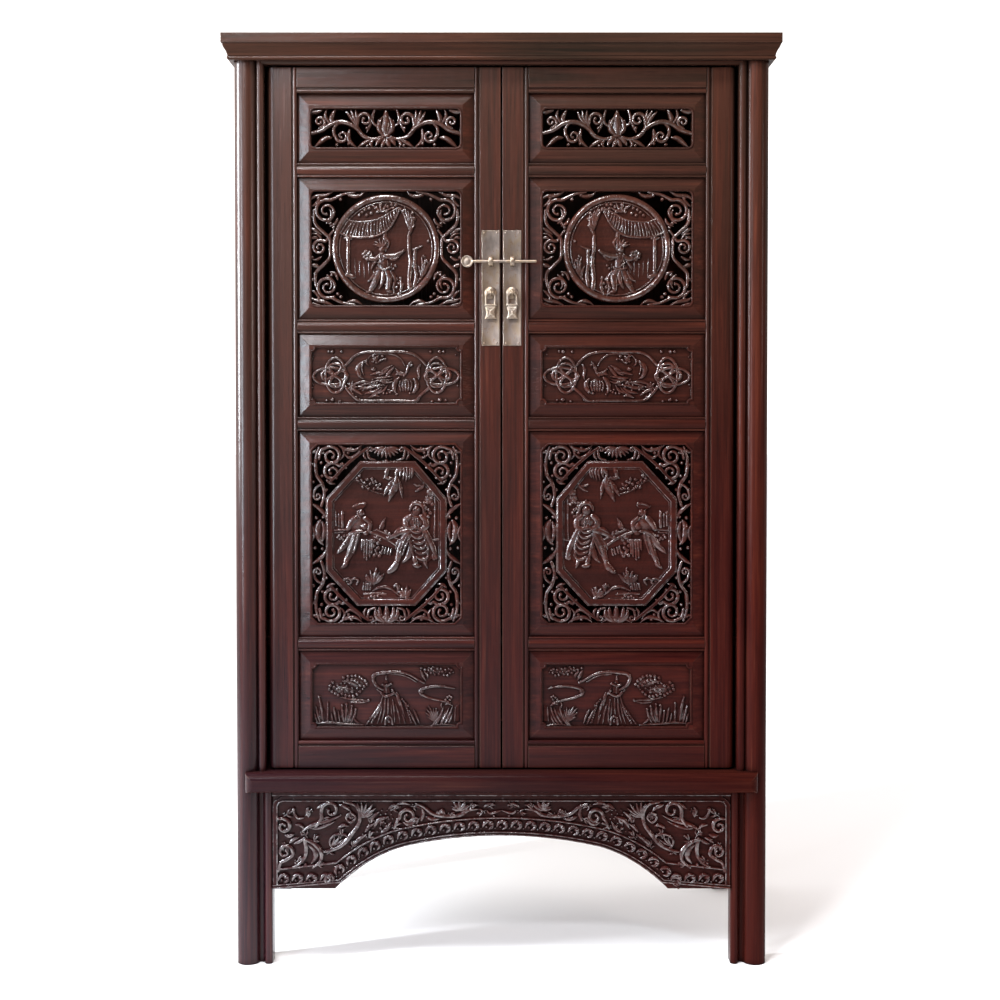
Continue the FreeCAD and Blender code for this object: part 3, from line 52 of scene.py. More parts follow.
def fill_ramp(node, tones):
    """Sets the stops of a colour ramp, each a place with its colour or its grey."""
    stops = node.color_ramp.elements
    while len(stops) < len(tones):
        stops.new(0.5)
    for stop, (at, tone) in zip(stops, tones):
        stop.position = at
        stop.color = (*tone, 1) if isinstance(tone, tuple) else (tone, tone, tone, 1)


class Finish:
    """A material, with short ways to add the nodes that feed its shader."""

    def __init__(self, name):
        self.material = bpy.data.materials.new(name)
        self.material.use_nodes = True
        self.tree = self.material.node_tree
        self.shader = self.tree.nodes["Principled BSDF"]
        self.spot = self.add("ShaderNodeTexCoord", {}).outputs["Object"]

    def feed(self, node, inputs):
        """Gives inputs of a node their values, or joins them to outputs of other nodes."""
        for name, value in inputs.items():
            if isinstance(value, bpy.types.NodeSocket):
                self.tree.links.new(value, node.inputs[name])
            else:
                node.inputs[name].default_value = value

    def add(self, kind, inputs):
        """A new node with its inputs fed."""
        node = self.tree.nodes.new(kind)
        self.feed(node, inputs)
        return node

    def noise(self, scale, detail, stretch=(1, 1, 1), start=(0, 0, 0), rough=0.5, warp=0):
        """Noise at a scale, drawn out along the axes."""
        place = self.add("ShaderNodeMapping", {"Vector": self.spot, "Scale": stretch, "Location": start})
        return self.add("ShaderNodeTexNoise", {
            "Vector": place.outputs["Vector"], "Scale": scale, "Detail": detail, "Roughness": rough,
            "Distortion": warp}).outputs["Fac"]

    def blend(self, kind, *values):
        """One of Math's operations on its values."""
        step = self.tree.nodes.new("ShaderNodeMath")
        step.operation = kind
        self.feed(step, dict(enumerate(values)))
        return step.outputs["Value"]

    def ramp(self, value, tones):
        """A row of colours or greys along a value."""
        scale = self.add("ShaderNodeValToRGB", {"Fac": value})
        fill_ramp(scale, tones)
        return scale.outputs["Color"]

    def mixed(self, share, under, over, kind="MIX"):
        """A colour laid over another by a share."""
        mix = self.tree.nodes.new("ShaderNodeMix")
        mix.data_type = "RGBA"
        mix.blend_type = kind
        self.feed(mix, {"Factor": share, "A": under, "B": (*over, 1)})
        return mix.outputs["Result"]

    def hollows(self, reach, deep, open):
        """One in the depth of hollows and corners, and nothing out in the open."""
        hollow = self.add("ShaderNodeAmbientOcclusion", {"Distance": reach})
        hollow.samples = 4
        return self.ramp(hollow.outputs["AO"], [(deep, 1.0), (open, 0.0)])

    def soft_edges(self, radius):
        """The normal of slightly rounded edges, and how far it agrees with the flat faces."""
        soft = self.add("ShaderNodeBevel", {"Radius": radius})
        soft.samples = 4
        surface = self.add("ShaderNodeNewGeometry", {})
        meet = self.tree.nodes.new("ShaderNodeVectorMath")
        meet.operation = "DOT_PRODUCT"
        self.feed(meet, {0: soft.outputs["Normal"], 1: surface.outputs["Normal"]})
        return soft.outputs["Normal"], meet.outputs["Value"]

    def bumps(self, normal, *layers):
        """Adds layers of bumps to a normal, each a height with its strength and its reach."""
        for height, strength, reach in layers:
            bump = self.add("ShaderNodeBump", {"Height": height, "Strength": strength, "Distance": reach})
            if normal is not None:
                self.feed(bump, {"Normal": normal})
            normal = bump.outputs["Normal"]
        return normal


bpy.ops.mesh.primitive_plane_add(size=60)
floor = bpy.context.object
floor.name = "floor"
floor_paint = Finish("pale_floor")
floor_run = floor_paint.add("ShaderNodeSeparateXYZ", {"Vector": floor_paint.spot})
floor_tone = floor_paint.add("ShaderNodeMapRange", {
    "Value": floor_run.outputs["Y"], "From Min": -1.4, "From Max": -0.42, "To Min": 0.4, "To Max": 0.94})
floor_paint.feed(floor_paint.shader, {
    "Base Color": floor_tone.outputs["Result"], "Roughness": 0.7, "Specular IOR Level": 0.2})
floor.data.materials.append(floor_paint.material)

# The walls of the room by compass angle, from the left side round the front and the back.
room = bpy.data.worlds.new("room")
room.use_nodes = True
scene.world = room
walls = room.node_tree.nodes
joins = room.node_tree.links
around = walls.new("ShaderNodeTexGradient")
around.gradient_type = "RADIAL"
facing = walls.new("ShaderNodeTexCoord")
joins.new(facing.outputs["Generated"], around.inputs["Vector"])
wall_tone = walls.new("ShaderNodeValToRGB")
fill_ramp(wall_tone, [
    (0.0, (1.6, 1.6, 1.62)),
    (0.05, (1.4, 1.45, 1.6)),
    (0.14, (0.7, 0.76, 0.95)),
    (0.2, (0.5, 0.52, 0.6)),
    (0.235, (0.7, 0.58, 0.57)),
    (0.248, (1.5, 1.02, 0.88)),
    (0.254, (0.35, 0.2, 0.16)),
    (0.275, (0.15, 0.065, 0.045)),
    (0.34, (0.12, 0.05, 0.038)),
    (0.45, (0.12, 0.06, 0.05)),
    (0.5, (1.6, 1.5, 1.42)),
    (1.0, (1.6, 1.6, 1.62)),
])
joins.new(around.outputs["Fac"], wall_tone.inputs["Fac"])
joins.new(wall_tone.outputs["Color"], walls["Background"].inputs["Color"])


def window_light(name, place, aim, wide, tall, power, tint):
    """A soft rectangular light that faces a point."""
    bpy.ops.object.light_add(type="AREA", location=place)
    lamp = bpy.context.object
    lamp.name = name
    toward = [goal - start for goal, start in zip(aim, place)]
    turn = math.atan2(toward[0], -toward[1])
    tilt = math.atan2(toward[2], math.hypot(toward[0], toward[1]))
    lamp.rotation_euler = (math.pi / 2 + tilt, 0, math.pi + turn)
    lamp.data.shape = "RECTANGLE"
    lamp.data.size = wide
    lamp.data.size_y = tall
    lamp.data.energy = power
    lamp.data.color = tint


window_light("left_window", (-2.3, -2.5, 1.35), (0, -0.2, 1.0), 0.3, 1.9, 50, (0.82, 0.91, 1.0))
window_light("left_strip", (-2.7, -0.95, 1.75), (-0.3, -0.2, 1.3), 0.1, 1.5, 150, (0.9, 0.95, 1.0))
window_light("right_window", (2.7, -2.0, 1.7), (0, -0.2, 1.0), 0.2, 0.9, 14, (1.0, 0.85, 0.78))
window_light("ceiling_light", (-0.4, -1.25, 3.3), (0, -0.2, 1.0), 0.6, 0.45, 58, (0.97, 0.96, 0.95))
window_light("front_lamp", (-1.0, -2.7, 3.0), (0, -0.2, 0.8), 0.45, 0.3, 45, (0.94, 0.96, 1.0))

# Front posts and rear posts: square elm uprights under dark red-brown lacquer, the front
# ones rounded and, below the ledge, beaded on their inner side. The CAD solids are kept.


def lacquered_wood(name, along, start=0.0, ruddy=1.0, carved=False, gloss=1.0):
    """Dark lacquer over wood whose grain runs along one axis, worn lighter on its edges and crests, with
    painted shade in its hollows, a painted sheen on carved crests and a painted reflected haze that changes
    across the front.
    """
    finish = Finish(name)
    blend, ramp, mixed = finish.blend, finish.ramp, finish.mixed

    def grain(across, length, detail, warp):
        """Noise drawn out along the grain."""
        stretch = [length if axis == along else across for axis in "xyz"]
        return finish.noise(1, detail, stretch, (start, start * 0.7, start * 1.3), 0.6, warp)

    figure = grain(34, 1.7, 3, 0.9)
    streaks = grain(230, 4.5, 5, 0.3)
    pores = grain(1100, 16, 2, 0)
    clouds = grain(3.1, 2.2, 2, 0)
    rings = blend("MULTIPLY_ADD", figure, 0.62, blend("MULTIPLY", streaks, 0.38))
    wood = ramp(rings, [
        (0.33, (0.0075, 0.0016, 0.0013)),
        (0.46, (0.022 * ruddy, 0.0042, 0.0028)),
        (0.56, (0.038 * ruddy, 0.0068, 0.004)),
        (0.68, (0.066 * ruddy, 0.0135, 0.007)),
    ])
    wood = mixed(ramp(clouds, [(0.35, 0.0), (0.7, 0.55)]), wood, (0.021, 0.006, 0.0042))

    # Painted reflected haze: the colour is made paler toward the upper left, browner at the upper right,
    # cooler at the lower left and redder on the right, as the room's reflected light would leave it.
    where = finish.add("ShaderNodeSeparateXYZ", {"Vector": finish.spot}).outputs
    high = blend("MULTIPLY_ADD", where["Z"], 0.7, -0.28)
    low = blend("MULTIPLY_ADD", where["Z"], -0.8, 1.0)
    left = blend("MULTIPLY_ADD", where["X"], -0.9, 0.5)
    right = blend("ADD", where["X"], 0.5)
    for place, none, full, tone in (
            (blend("MULTIPLY", high, left), 0.0, 0.9, (0.012, 0.0095, 0.006)),
            (blend("MULTIPLY", high, right), 0.3, 0.85, (0.0, 0.0085, 0.0055)),
            (blend("MULTIPLY", low, left), 0.0, 0.8, (0.0, 0.001, 0.005)),
            (where["X"], 0.0, 0.45, (0.009, 0.0, 0.0))):
        wood = mixed(ramp(place, [(none, 0.0), (full, 1.0)]), wood, tone, "ADD")
    slits = ramp(pores, [(0.3, 1.0), (0.4, 0.0)])
    wood = mixed(blend("MULTIPLY", slits, 0.55), wood, (0.006, 0.003, 0.003))

    dents = finish.noise(170 if carved else 50, 2.5)
    if carved:
        normal = None
        wear_and_sheen = finish.add("ShaderNodeAttribute", {})
        wear_and_sheen.attribute_name = "rubbed_and_sheen"
        rub_and_sheen = blend("ADD", wear_and_sheen.outputs["Fac"], blend("MULTIPLY_ADD", dents, -0.9, 0.25))
        crests = ramp(rub_and_sheen, [(0.2, 0.0), (0.75, 1.0)])
        wood = mixed(ramp(rub_and_sheen, [(0.0, 0.55), (0.4, 0.0)]), wood, (0.024, 0.009, 0.0075))
        # Partly wear and partly painted highlight: raised crests are mixed toward a paler brown, as worn
        # lacquer and as the sheen they catch.
        wood = mixed(blend("MULTIPLY", crests, 0.14), wood, (0.085, 0.045, 0.036))
        # Painted shade: the colour darkens in the hollows between and under the carved strands, by ambient
        # occlusion.
        hollow_shade = finish.hollows(0.0045, 0.2, 0.8)
        wood = mixed(blend("MULTIPLY", hollow_shade, 0.8), wood, (0.006, 0.003, 0.0035))
    else:
        normal, meet = finish.soft_edges(0.0016)
        edges = ramp(blend("ADD", meet, blend("MULTIPLY", streaks, -0.06)), [(0.9, 1.0), (0.965, 0.0)])
        wood = mixed(blend("MULTIPLY", edges, 0.42), wood, (0.15, 0.07, 0.045))
        # Painted shade: the colour darkens in the gaps, joints and corners between parts, by ambient
        # occlusion.
        hollow_shade = finish.hollows(0.012, 0.42, 0.86)
        wood = mixed(blend("MULTIPLY", hollow_shade, 0.88), wood, (0.004, 0.002, 0.002))

    shine = ramp(blend("MULTIPLY_ADD", clouds, 0.6, blend("MULTIPLY", streaks, 0.4)), [
        (0.35, 0.17), (0.65, 0.28)])
    polish = blend("MULTIPLY_ADD", where["X"], -0.4, 0.27)
    polish = blend("MULTIPLY", polish, ramp(where["Z"], [(0.2, 0.55), (1.0, 1.0)]))
    surface = finish.add("ShaderNodeNewGeometry", {})
    tilt = finish.add("ShaderNodeSeparateXYZ", {"Vector": surface.outputs["Normal"]}).outputs["Z"]
    steep = blend("MULTIPLY", tilt, -1) if carved else blend("ABSOLUTE", tilt)
    polish = blend("MULTIPLY", polish, ramp(steep, [(0.0, 1.0), (0.45, 0.3)]))
    if carved:
        crests = blend("MULTIPLY", crests, ramp(finish.noise(75, 1.5), [(0.4, 0.3), (0.6, 1.35)]))
        polish = blend("MULTIPLY_ADD", crests, 0.7, blend("MULTIPLY", polish, 0.35))
        shine = blend("MULTIPLY_ADD", crests, -0.12, shine)
        finish.feed(finish.shader, {"Coat Weight": blend("MULTIPLY", crests, 0.55), "Coat Roughness": 0.06})
    else:
        polish = blend("MULTIPLY_ADD", edges, 0.18, polish)
        polish = blend("MULTIPLY", polish, blend("MULTIPLY_ADD", hollow_shade, -0.8, 1.0))
    normal = finish.bumps(
        normal, (dents, 0.6 if carved else 0.32, 0.0012), (streaks, 0.2, 0.0004), (pores, 0.16, 0.0002))
    finish.feed(finish.shader, {
        "Base Color": wood,
        "Specular IOR Level": blend("MULTIPLY", polish, gloss),
        "Roughness": shine,
        "Normal": normal,
    })
    return finish.material


def refinish(finish, *names):
    """Gives CAD solids, which keep their place and shape, a finish of their own."""
    for name in names:
        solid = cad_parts[name]
        solid.data.materials.clear()
        solid.data.materials.append(finish)


upright_lacquer = lacquered_wood("lacquer_uprights", "z")
refinish(upright_lacquer, "front_left_post", "front_right_post", "rear_left_post", "rear_right_post")

# Sides and back: framed boards between the posts, with an arched apron under each side.
# The side rails run front to back; the back rails and the ledge run from left to right.

side_lacquer = lacquered_wood("lacquer_side_rails", "y", 3.1)
cross_lacquer = lacquered_wood("lacquer_cross_rails", "x", 5.7)
# The ledge and the front cornice rail take a less red, darker copy of the lacquer: painted shade that holds
# down the light on them.
shaded_front_lacquer = lacquered_wood("lacquer_front_rails", "x", 6.9, 0.75, gloss=0.5)
board_lacquer = lacquered_wood("lacquer_boards", "z", 8.3, ruddy=0.9)
refinish(side_lacquer, "left_side_rails", "right_side_rails", "left_side_apron", "right_side_apron",
         "left_cornice_rail", "right_cornice_rail")
refinish(board_lacquer, "left_side_panels", "right_side_panels", "back_panels", "back_stile")
refinish(shaded_front_lacquer, "front_bottom_rail", "front_cornice_rail")
refinish(cross_lacquer, "rear_rails", "front_top_rail", "back_cornice_rail", "top_board",
         "left_door_top_rail", "right_door_top_rail", "left_door_bottom_rail", "right_door_bottom_rail",
         "left_door_middle_rails", "right_door_middle_rails")
refinish(upright_lacquer, "left_jamb_bead", "right_jamb_bead", "left_door_hinge_stile",
         "right_door_hinge_stile", "left_door_meeting_stile", "right_door_meeting_stile")

# Apron under the ledge: one arched board between the legs, carved in low relief with a vine
# round its upper part and a row of blossoms that follows the arch between raised lines.


def along(values, share):
    """A value, or the one that a row of values reaches at this share of its length."""
    if isinstance(values, (int, float)):
        return values
    place = share * (len(values) - 1)
    first = min(int(place), len(values) - 2)
    return values[first] + (values[first + 1] - values[first]) * (place - first)


def smooth_path(points, closed=False, step=2.5):
    """Runs a smooth line through points, with its own points about a step apart."""
    count = len(points)
    line = []
    for index in range(count if closed else count - 1):
        spots = [index + shift for shift in (-1, 0, 1, 2)]
        before, start, end, after = (
            points[spot % count if closed else min(max(spot, 0), count - 1)] for spot in spots)
        pieces = max(1, round(math.dist(start, end) / step))
        for piece in range(pieces):
            t = piece / pieces
            line.append(tuple(
                0.5 * (2 * b + (d - a) * t + (2 * a - 5 * b + 4 * d - e) * t * t
                       + (3 * b - a - 3 * d + e) * t ** 3)
                for a, b, d, e in zip(before, start, end, after)))
    if not closed:
        line.append(tuple(points[-1]))
    return line


def curl(middle, radius, start, turns, eye=0.24):
    """The points of a scroll that draws in to its eye; positive turns run anticlockwise."""
    steps = max(int(abs(turns) * 12), 3)
    points = []
    for step in range(steps + 1):
        share = step / steps
        reach = radius * (1 - (1 - eye) * share)
        angle = math.radians(start + 360 * turns * share)
        points.append((middle[0] + reach * math.cos(angle), middle[1] + reach * math.sin(angle)))
    return points


def pick(*things):
    """Selects things and makes the first of them active."""
    bpy.ops.object.select_all(action="DESELECT")
    for thing in things:
        thing.select_set(True)
    bpy.context.view_layer.objects.active = things[0]


class Carving:
    """Cuts on one board in millimetres: x to the right and z up from its middle, depth outwards."""

    SECTIONS = {
        "round": [(-0.5, 1, 0), (-0.47, 0.55, 0.45), (-0.3, 0.14, 0.86), (0, 0, 1), (0.3, 0.14, 0.86),
                  (0.47, 0.55, 0.45), (0.5, 1, 0)],
        "ridge": [(-0.5, 1, 0), (-0.44, 0.5, 0.35), (-0.24, 0.15, 0.7), (0, 0, 1), (0.24, 0.15, 0.7),
                  (0.44, 0.5, 0.35), (0.5, 1, 0)],
        "flat": [(-0.5, 0.5, 0.5), (-0.44, 0.12, 1), (-0.36, 0, 0.8), (-0.28, 0, 0.3), (0.28, 0, 0.3),
                 (0.36, 0, 0.8), (0.44, 0.12, 1), (0.5, 0.5, 0.5)],
        "bead": [(-0.5, 1, 0), (-0.4, 0.35, 0.2), (-0.16, 0.04, 0.35), (0.16, 0.04, 0.35), (0.4, 0.35, 0.2),
                 (0.5, 1, 0)],
    }

    def __init__(self, bold=1.0):
        self.bold = bold
        self.corners = []
        self.faces = []
        self.rubbed_and_sheen = []
        self.repeat(1)

    def repeat(self, times):
        """Makes the strands and bosses that follow once, twice to left and right, or in all corners."""
        self.ways = [(1, 1), (-1, 1), (1, -1), (-1, -1)][:times]

    def strand(self, points, width, foot, crown, form="round", closed=False, mitred=False, step=2.5):
        """A strand that follows a line; its width and crown may change along it."""
        for across, up in self.ways:
            spots = [(across * x, up * z) for x, z in points]
            line = spots if mitred else smooth_path(spots, closed, step)
            self.sweep(line, width, foot, crown, form, closed, mitred)

    def sweep(self, line, width, foot, crown, form, closed, mitred):
        """Lays one kind of section along a line."""
        count = len(line)
        rings = []
        for index, (x, z) in enumerate(line):
            if closed:
                back, ahead = line[index - 1], line[(index + 1) % count]
            else:
                back, ahead = line[max(index - 1, 0)], line[min(index + 1, count - 1)]
            run_in = (x - back[0], z - back[1])
            run_out = (ahead[0] - x, ahead[1] - z)
            sides = []
            for run in (run_in, run_out):
                size = math.hypot(*run)
                if size > 1e-6:
                    sides.append((-run[1] / size, run[0] / size))
            across = [sum(side[axis] for side in sides) / len(sides) for axis in (0, 1)]
            size = max(math.hypot(*across), 0.45)
            across = [part / size ** 2 for part in across] if mitred else [
                part / max(math.hypot(*across), 1e-6) for part in across]
            share = index / max(count - 1, 1)
            wide = along(width, share) * (1 if mitred else self.bold)
            top = along(crown, share)
            rings.append(self.ring(x, z, across, wide, foot, top, form))
        if not closed and not mitred:
            for end, beside, place in ((-1, -2, count), (0, 1, 0)):
                x, z = line[end]
                away = (x - line[beside][0], z - line[beside][1])
                size = max(math.hypot(*away), 1e-6)
                wide = along(width, 0 if end == 0 else 1) * self.bold
                top = along(crown, 0 if end == 0 else 1)
                tip = (x + away[0] / size * wide * 0.34, z + away[1] / size * wide * 0.34)
                side = (-away[1] / size, away[0] / size)
                if end == 0:
                    side = (-side[0], -side[1])
                low = top - min(wide * 0.2, (top - foot) * 0.4)
                rings.insert(place, self.ring(*tip, side, wide * 0.5, foot, low, form))
        self.loft(rings, closed)

    def ring(self, x, z, across, wide, foot, top, form):
        """One section across a strand."""
        drop = min(wide * 0.5, (top - foot) * 0.92)
        shape = [(side * wide, top - drop * fall, rub_and_sheen) for side, fall, rub_and_sheen in self.SECTIONS[form]]
        shape = [(shape[0][0], foot, 0)] + shape + [(shape[-1][0], foot, 0)]
        return [(x + across[0] * side, z + across[1] * side, depth, rub_and_sheen) for side, depth, rub_and_sheen in shape]

    def loft(self, rings, closed):
        """Joins sections of equal count, and shuts the ends of an open row."""
        first = len(self.corners)
        count = len(rings[0])
        for ring in rings:
            self.corners += [corner[:3] for corner in ring]
            self.rubbed_and_sheen += [corner[3] for corner in ring]
        for step in range(len(rings) if closed else len(rings) - 1):
            near = first + step * count
            far = first + (step + 1) % len(rings) * count
            for spot in range(count):
                beside = (spot + 1) % count
                self.faces.append((near + spot, near + beside, far + beside, far + spot))
        if not closed:
            last = first + (len(rings) - 1) * count
            self.faces.append(tuple(range(first + count - 1, first - 1, -1)))
            self.faces.append(tuple(range(last, last + count)))

    def scroll(self, stem, middle, radius, start, turns, width, foot, crown):
        """A stem that runs into a scroll with a round eye."""
        line = list(stem) + curl(middle, radius, start, turns)
        self.strand(line, [width * 0.7, width, width, width * 0.8, width * 0.55], foot, crown)
        self.ball(line[-1], width * 0.62, foot, crown)

    def leaf(self, points, width, foot, crown):
        """A pointed leaf along a curved line."""
        self.strand(points, [width * 0.3, width * 0.85, width, width * 0.6, width * 0.12], foot,
                    [crown - width * 0.12, crown, crown, crown, crown - width * 0.2], "ridge")

    def fan(self, root, tips, width, foot, crown):
        """Leaves that spread from one root."""
        for tip in tips:
            bend = ((root[0] + tip[0]) / 2 + (tip[1] - root[1]) * 0.06,
                    (root[1] + tip[1]) / 2 - (tip[0] - root[0]) * 0.06)
            self.leaf([root, bend, tip], width, foot, crown)

    def ball(self, middle, radius, foot, crown, tall=None, turn=0, sides=10):
        """A round or oval boss with a domed top."""
        tall = tall or radius
        rise = min(radius, tall, crown - foot)
        levels = ((1, crown - foot), (1, rise * 0.75), (0.86, rise * 0.42), (0.52, rise * 0.12), (0.12, 0))
        for across, up in self.ways:
            swing = math.radians(turn) * across * up
            rings = []
            for grow, drop in levels:
                ring = []
                for index in range(sides):
                    angle = 2 * math.pi * index / sides
                    a, b = radius * grow * math.cos(angle), tall * grow * math.sin(angle)
                    ring.append((across * middle[0] + a * math.cos(swing) - b * math.sin(swing),
                                 up * middle[1] + a * math.sin(swing) + b * math.cos(swing),
                                 crown - drop, 1.2 - grow))
                rings.append(ring)
            self.loft(rings, False)

    def balls(self, spots, radius, foot, crown):
        """Small equal beads."""
        for spot in spots:
            self.ball(spot, radius, foot, crown, sides=8)

    def leaves(self, foot, *rows):
        """Leaves, each given by its width, its crown and the x and z of its points in turn."""
        for width, crown, *path in rows:
            self.leaf(list(zip(path[::2], path[1::2])), width, foot, crown)

    def strands(self, foot, *rows):
        """Strands, given as leaves are."""
        for width, crown, *path in rows:
            self.strand(list(zip(path[::2], path[1::2])), width, foot, crown)

    def beads(self, foot, *rows):
        """Groups of beads, each given by their radius, their crown and their places in turn."""
        for radius, crown, *path in rows:
            self.balls(list(zip(path[::2], path[1::2])), radius, foot, crown)

    def bosses(self, foot, *rows):
        """Bosses, each given by its place, radius and crown, and its other radius and turn if oval."""
        for x, z, radius, crown, *oval in rows:
            self.ball((x, z), radius, foot, crown, *oval)

    def slab(self, outline, foot, crown, soften=1.0):
        """A flat shape with an eased upper edge."""
        count = len(outline)
        turn = sum(
            a[0] * b[1] - b[0] * a[1] for a, b in zip(outline, outline[1:] + outline[:1]))
        way = 1 if turn > 0 else -1
        inner = []
        for index, (x, z) in enumerate(outline):
            sides = []
            for start, end in ((outline[index - 1], (x, z)), ((x, z), outline[(index + 1) % count])):
                run = (end[0] - start[0], end[1] - start[1])
                size = max(math.hypot(*run), 1e-6)
                sides.append((-run[1] / size * way, run[0] / size * way))
            inward = [(a + b) / 2 for a, b in zip(*sides)]
            size = max(math.hypot(*inward), 0.5)
            inner.append((x + inward[0] / size ** 2 * soften, z + inward[1] / size ** 2 * soften))
        rings = [
            [(x, z, foot, 0) for x, z in outline],
            [(x, z, crown - soften, 0.5) for x, z in outline],
            [(x, z, crown, 0.2) for x, z in inner],
        ]
        self.loft(rings, False)

    def piece(self, name, middle, finish, side=1):
        """Stands the cuts up on their board as one closed, smooth-shaded piece."""
        x, y, z = middle
        spots = [
            ((x + side * across) / 1000, (y - depth) / 1000, (z + up) / 1000)
            for across, up, depth in self.corners]
        mesh = bpy.data.meshes.new(name)
        mesh.from_pydata(spots, [], self.faces)
        # How raised each point of a section is, read by the finish for its wear and its painted sheen.
        wear_and_sheen = mesh.attributes.new("rubbed_and_sheen", "FLOAT", "POINT")
        wear_and_sheen.data.foreach_set("value", self.rubbed_and_sheen)
        thing = bpy.data.objects.new(name, mesh)
        bpy.context.scene.collection.objects.link(thing)
        pick(thing)
        bpy.ops.object.mode_set(mode="EDIT")
        bpy.ops.mesh.select_all(action="SELECT")
        bpy.ops.mesh.normals_make_consistent(inside=False)
        bpy.ops.object.mode_set(mode="OBJECT")
        bpy.ops.object.shade_smooth_by_angle(angle=math.radians(42))
        mesh.materials.append(finish)
        return thing


def arch_points(offset, count=48):
    """Points a distance above the arch, which is one wide arc between two short steep ones."""
    end, knee, knee_high, drop = 333, 200, 234, 84
    radius, top = 881, 257
    line = []
    for index in range(count + 1):
        x = -end + 2 * end * index / count
        if abs(x) <= knee:
            z = top - radius + math.sqrt(radius ** 2 - x * x)
            slope = -x / (z + radius - top)
        else:
            share = (abs(x) - knee) / (end - knee)
            z = knee_high - drop * (0.52 * share + 0.48 * share ** 2.2)
            slope = drop / (end - knee) * (0.52 + 1.056 * share ** 1.2) * (1 if x < 0 else -1)
        size = math.hypot(1, slope)
        line.append((x - slope / size * offset, z + offset / size))
    return line


carved_lacquer = lacquered_wood("lacquer_carving", "x", 11.9, carved=True)
apron = Carving()
end, low_edge, top_edge = 458, 150, 350
apron.slab([(-end, low_edge)] + arch_points(0) + [(end, low_edge), (end, top_edge), (-end, top_edge)],
           0, 17.5, 1)
for offset, width, crown in ((4.6, 9.4, 21.5), (2.6, 2.8, 24), (8, 2.6, 24)):
    low = low_edge + offset
    line = [spot for spot in arch_points(offset) if spot[1] > low + 1]
    line = [(1 - end, low)] + line + [(end - 1, low)]
    apron.strand(line, width, 16, crown, "flat" if width > 5 else "round", mitred=True)
upper = [spot for spot in arch_points(37) if spot[1] > 191]
apron.strand([(-448, 190)] + upper + [(448, 190)], 3.6, 16, 25, mitred=True)
for width, crown, grow in ((3, 24.5, 0), (9, 21.5, 5)):
    apron.strand(
        [(-448 - grow, 160), (-448 - grow, 318), (-444 - grow, 325), (-437, 328 + grow), (0, 328.5 + grow),
         (437, 328 + grow), (444 + grow, 325), (448 + grow, 318), (448 + grow, 160)],
        width, 16, crown, "flat" if width > 5 else "round", mitred=True)
apron.strand([(-end, 343), (end, 343)], 13, 16, 21.5, "flat", mitred=True)


def turned(x, z, lean, size=1):
    """A function that gives the place of a point in a motif that leans at x and z."""
    turn = math.radians(lean)

    def at(across, up):
        return (x + size * (across * math.cos(turn) - up * math.sin(turn)),
                z + size * (across * math.sin(turn) + up * math.cos(turn)))

    return at


def blossom(board, x, z, lean):
    """A comma-shaped bud over a curled leaf, with a small point under it."""
    at = turned(x, z, lean)
    ground = 15
    board.leaf([at(-12, -4), at(-8, 4), at(0, 8), at(9, 5)], 8, ground, 26)
    board.ball(at(5, 3), 6.4, ground, 26.5, 5.2, lean)
    board.leaf([at(9, 2), at(6, -5), at(-1, -9)], 7, ground, 25)
    board.ball(at(-5, -4), 3, ground, 23.8)
    board.ball(at(13, -7), 2, ground, 23.2)


row = arch_points(23, count=240)
walked = 20
for before, spot in zip(row, row[1:]):
    walked += math.dist(before, spot)
    if walked > 27:
        walked = 0
        lean = math.degrees(math.atan2(spot[1] - before[1], spot[0] - before[0]))
        blossom(apron, *spot, lean)
for x in (-434, -406, -378, -350, 350, 378, 406, 434):
    blossom(apron, x, 172, 0)

vine_ground = 16
vine_left = Carving(1.35)
vine_left.scroll([(-446, 292), (-435, 293)], (-435, 277), 15, 95, -1.15, 6, vine_ground, 25.5)
vine_left.scroll([(-445, 187), (-441, 203), (-429, 210), (-417, 219)], (-432, 225), 15, 10, 1.1,
                 6, vine_ground, 25)
vine_left.scroll([(-370, 277), (-360, 292)], (-341, 309), 19, 195, -1.05, 6.5, vine_ground, 26)
vine_left.strand([(-310, 295), (-301, 304), (-291, 295), (-301, 285)], 3.6, vine_ground, 25.5, closed=True)
vine_left.fan((-281, 296), [(-288, 323), (-279, 326), (-269, 324), (-256, 323), (-251, 314), (-256, 303)],
              6, vine_ground, 26)
vine_left.strand([(-343, 247), (-333, 259), (-315, 261), (-307, 253), (-317, 238), (-336, 234)],
                 3.4, vine_ground, 25, closed=True)
vine_left.fan((-339, 238), [(-333, 255), (-322, 258), (-313, 252)], 5, vine_ground, 24.5)
vine_left.scroll([(-214, 273), (-208, 288)], (-187, 296), 17, 190, -1.2, 6, vine_ground, 25.5)
vine_left.fan((-84, 309), [(-96, 325), (-85, 328), (-72, 327), (-63, 320), (-99, 312)], 9, vine_ground, 25.5)
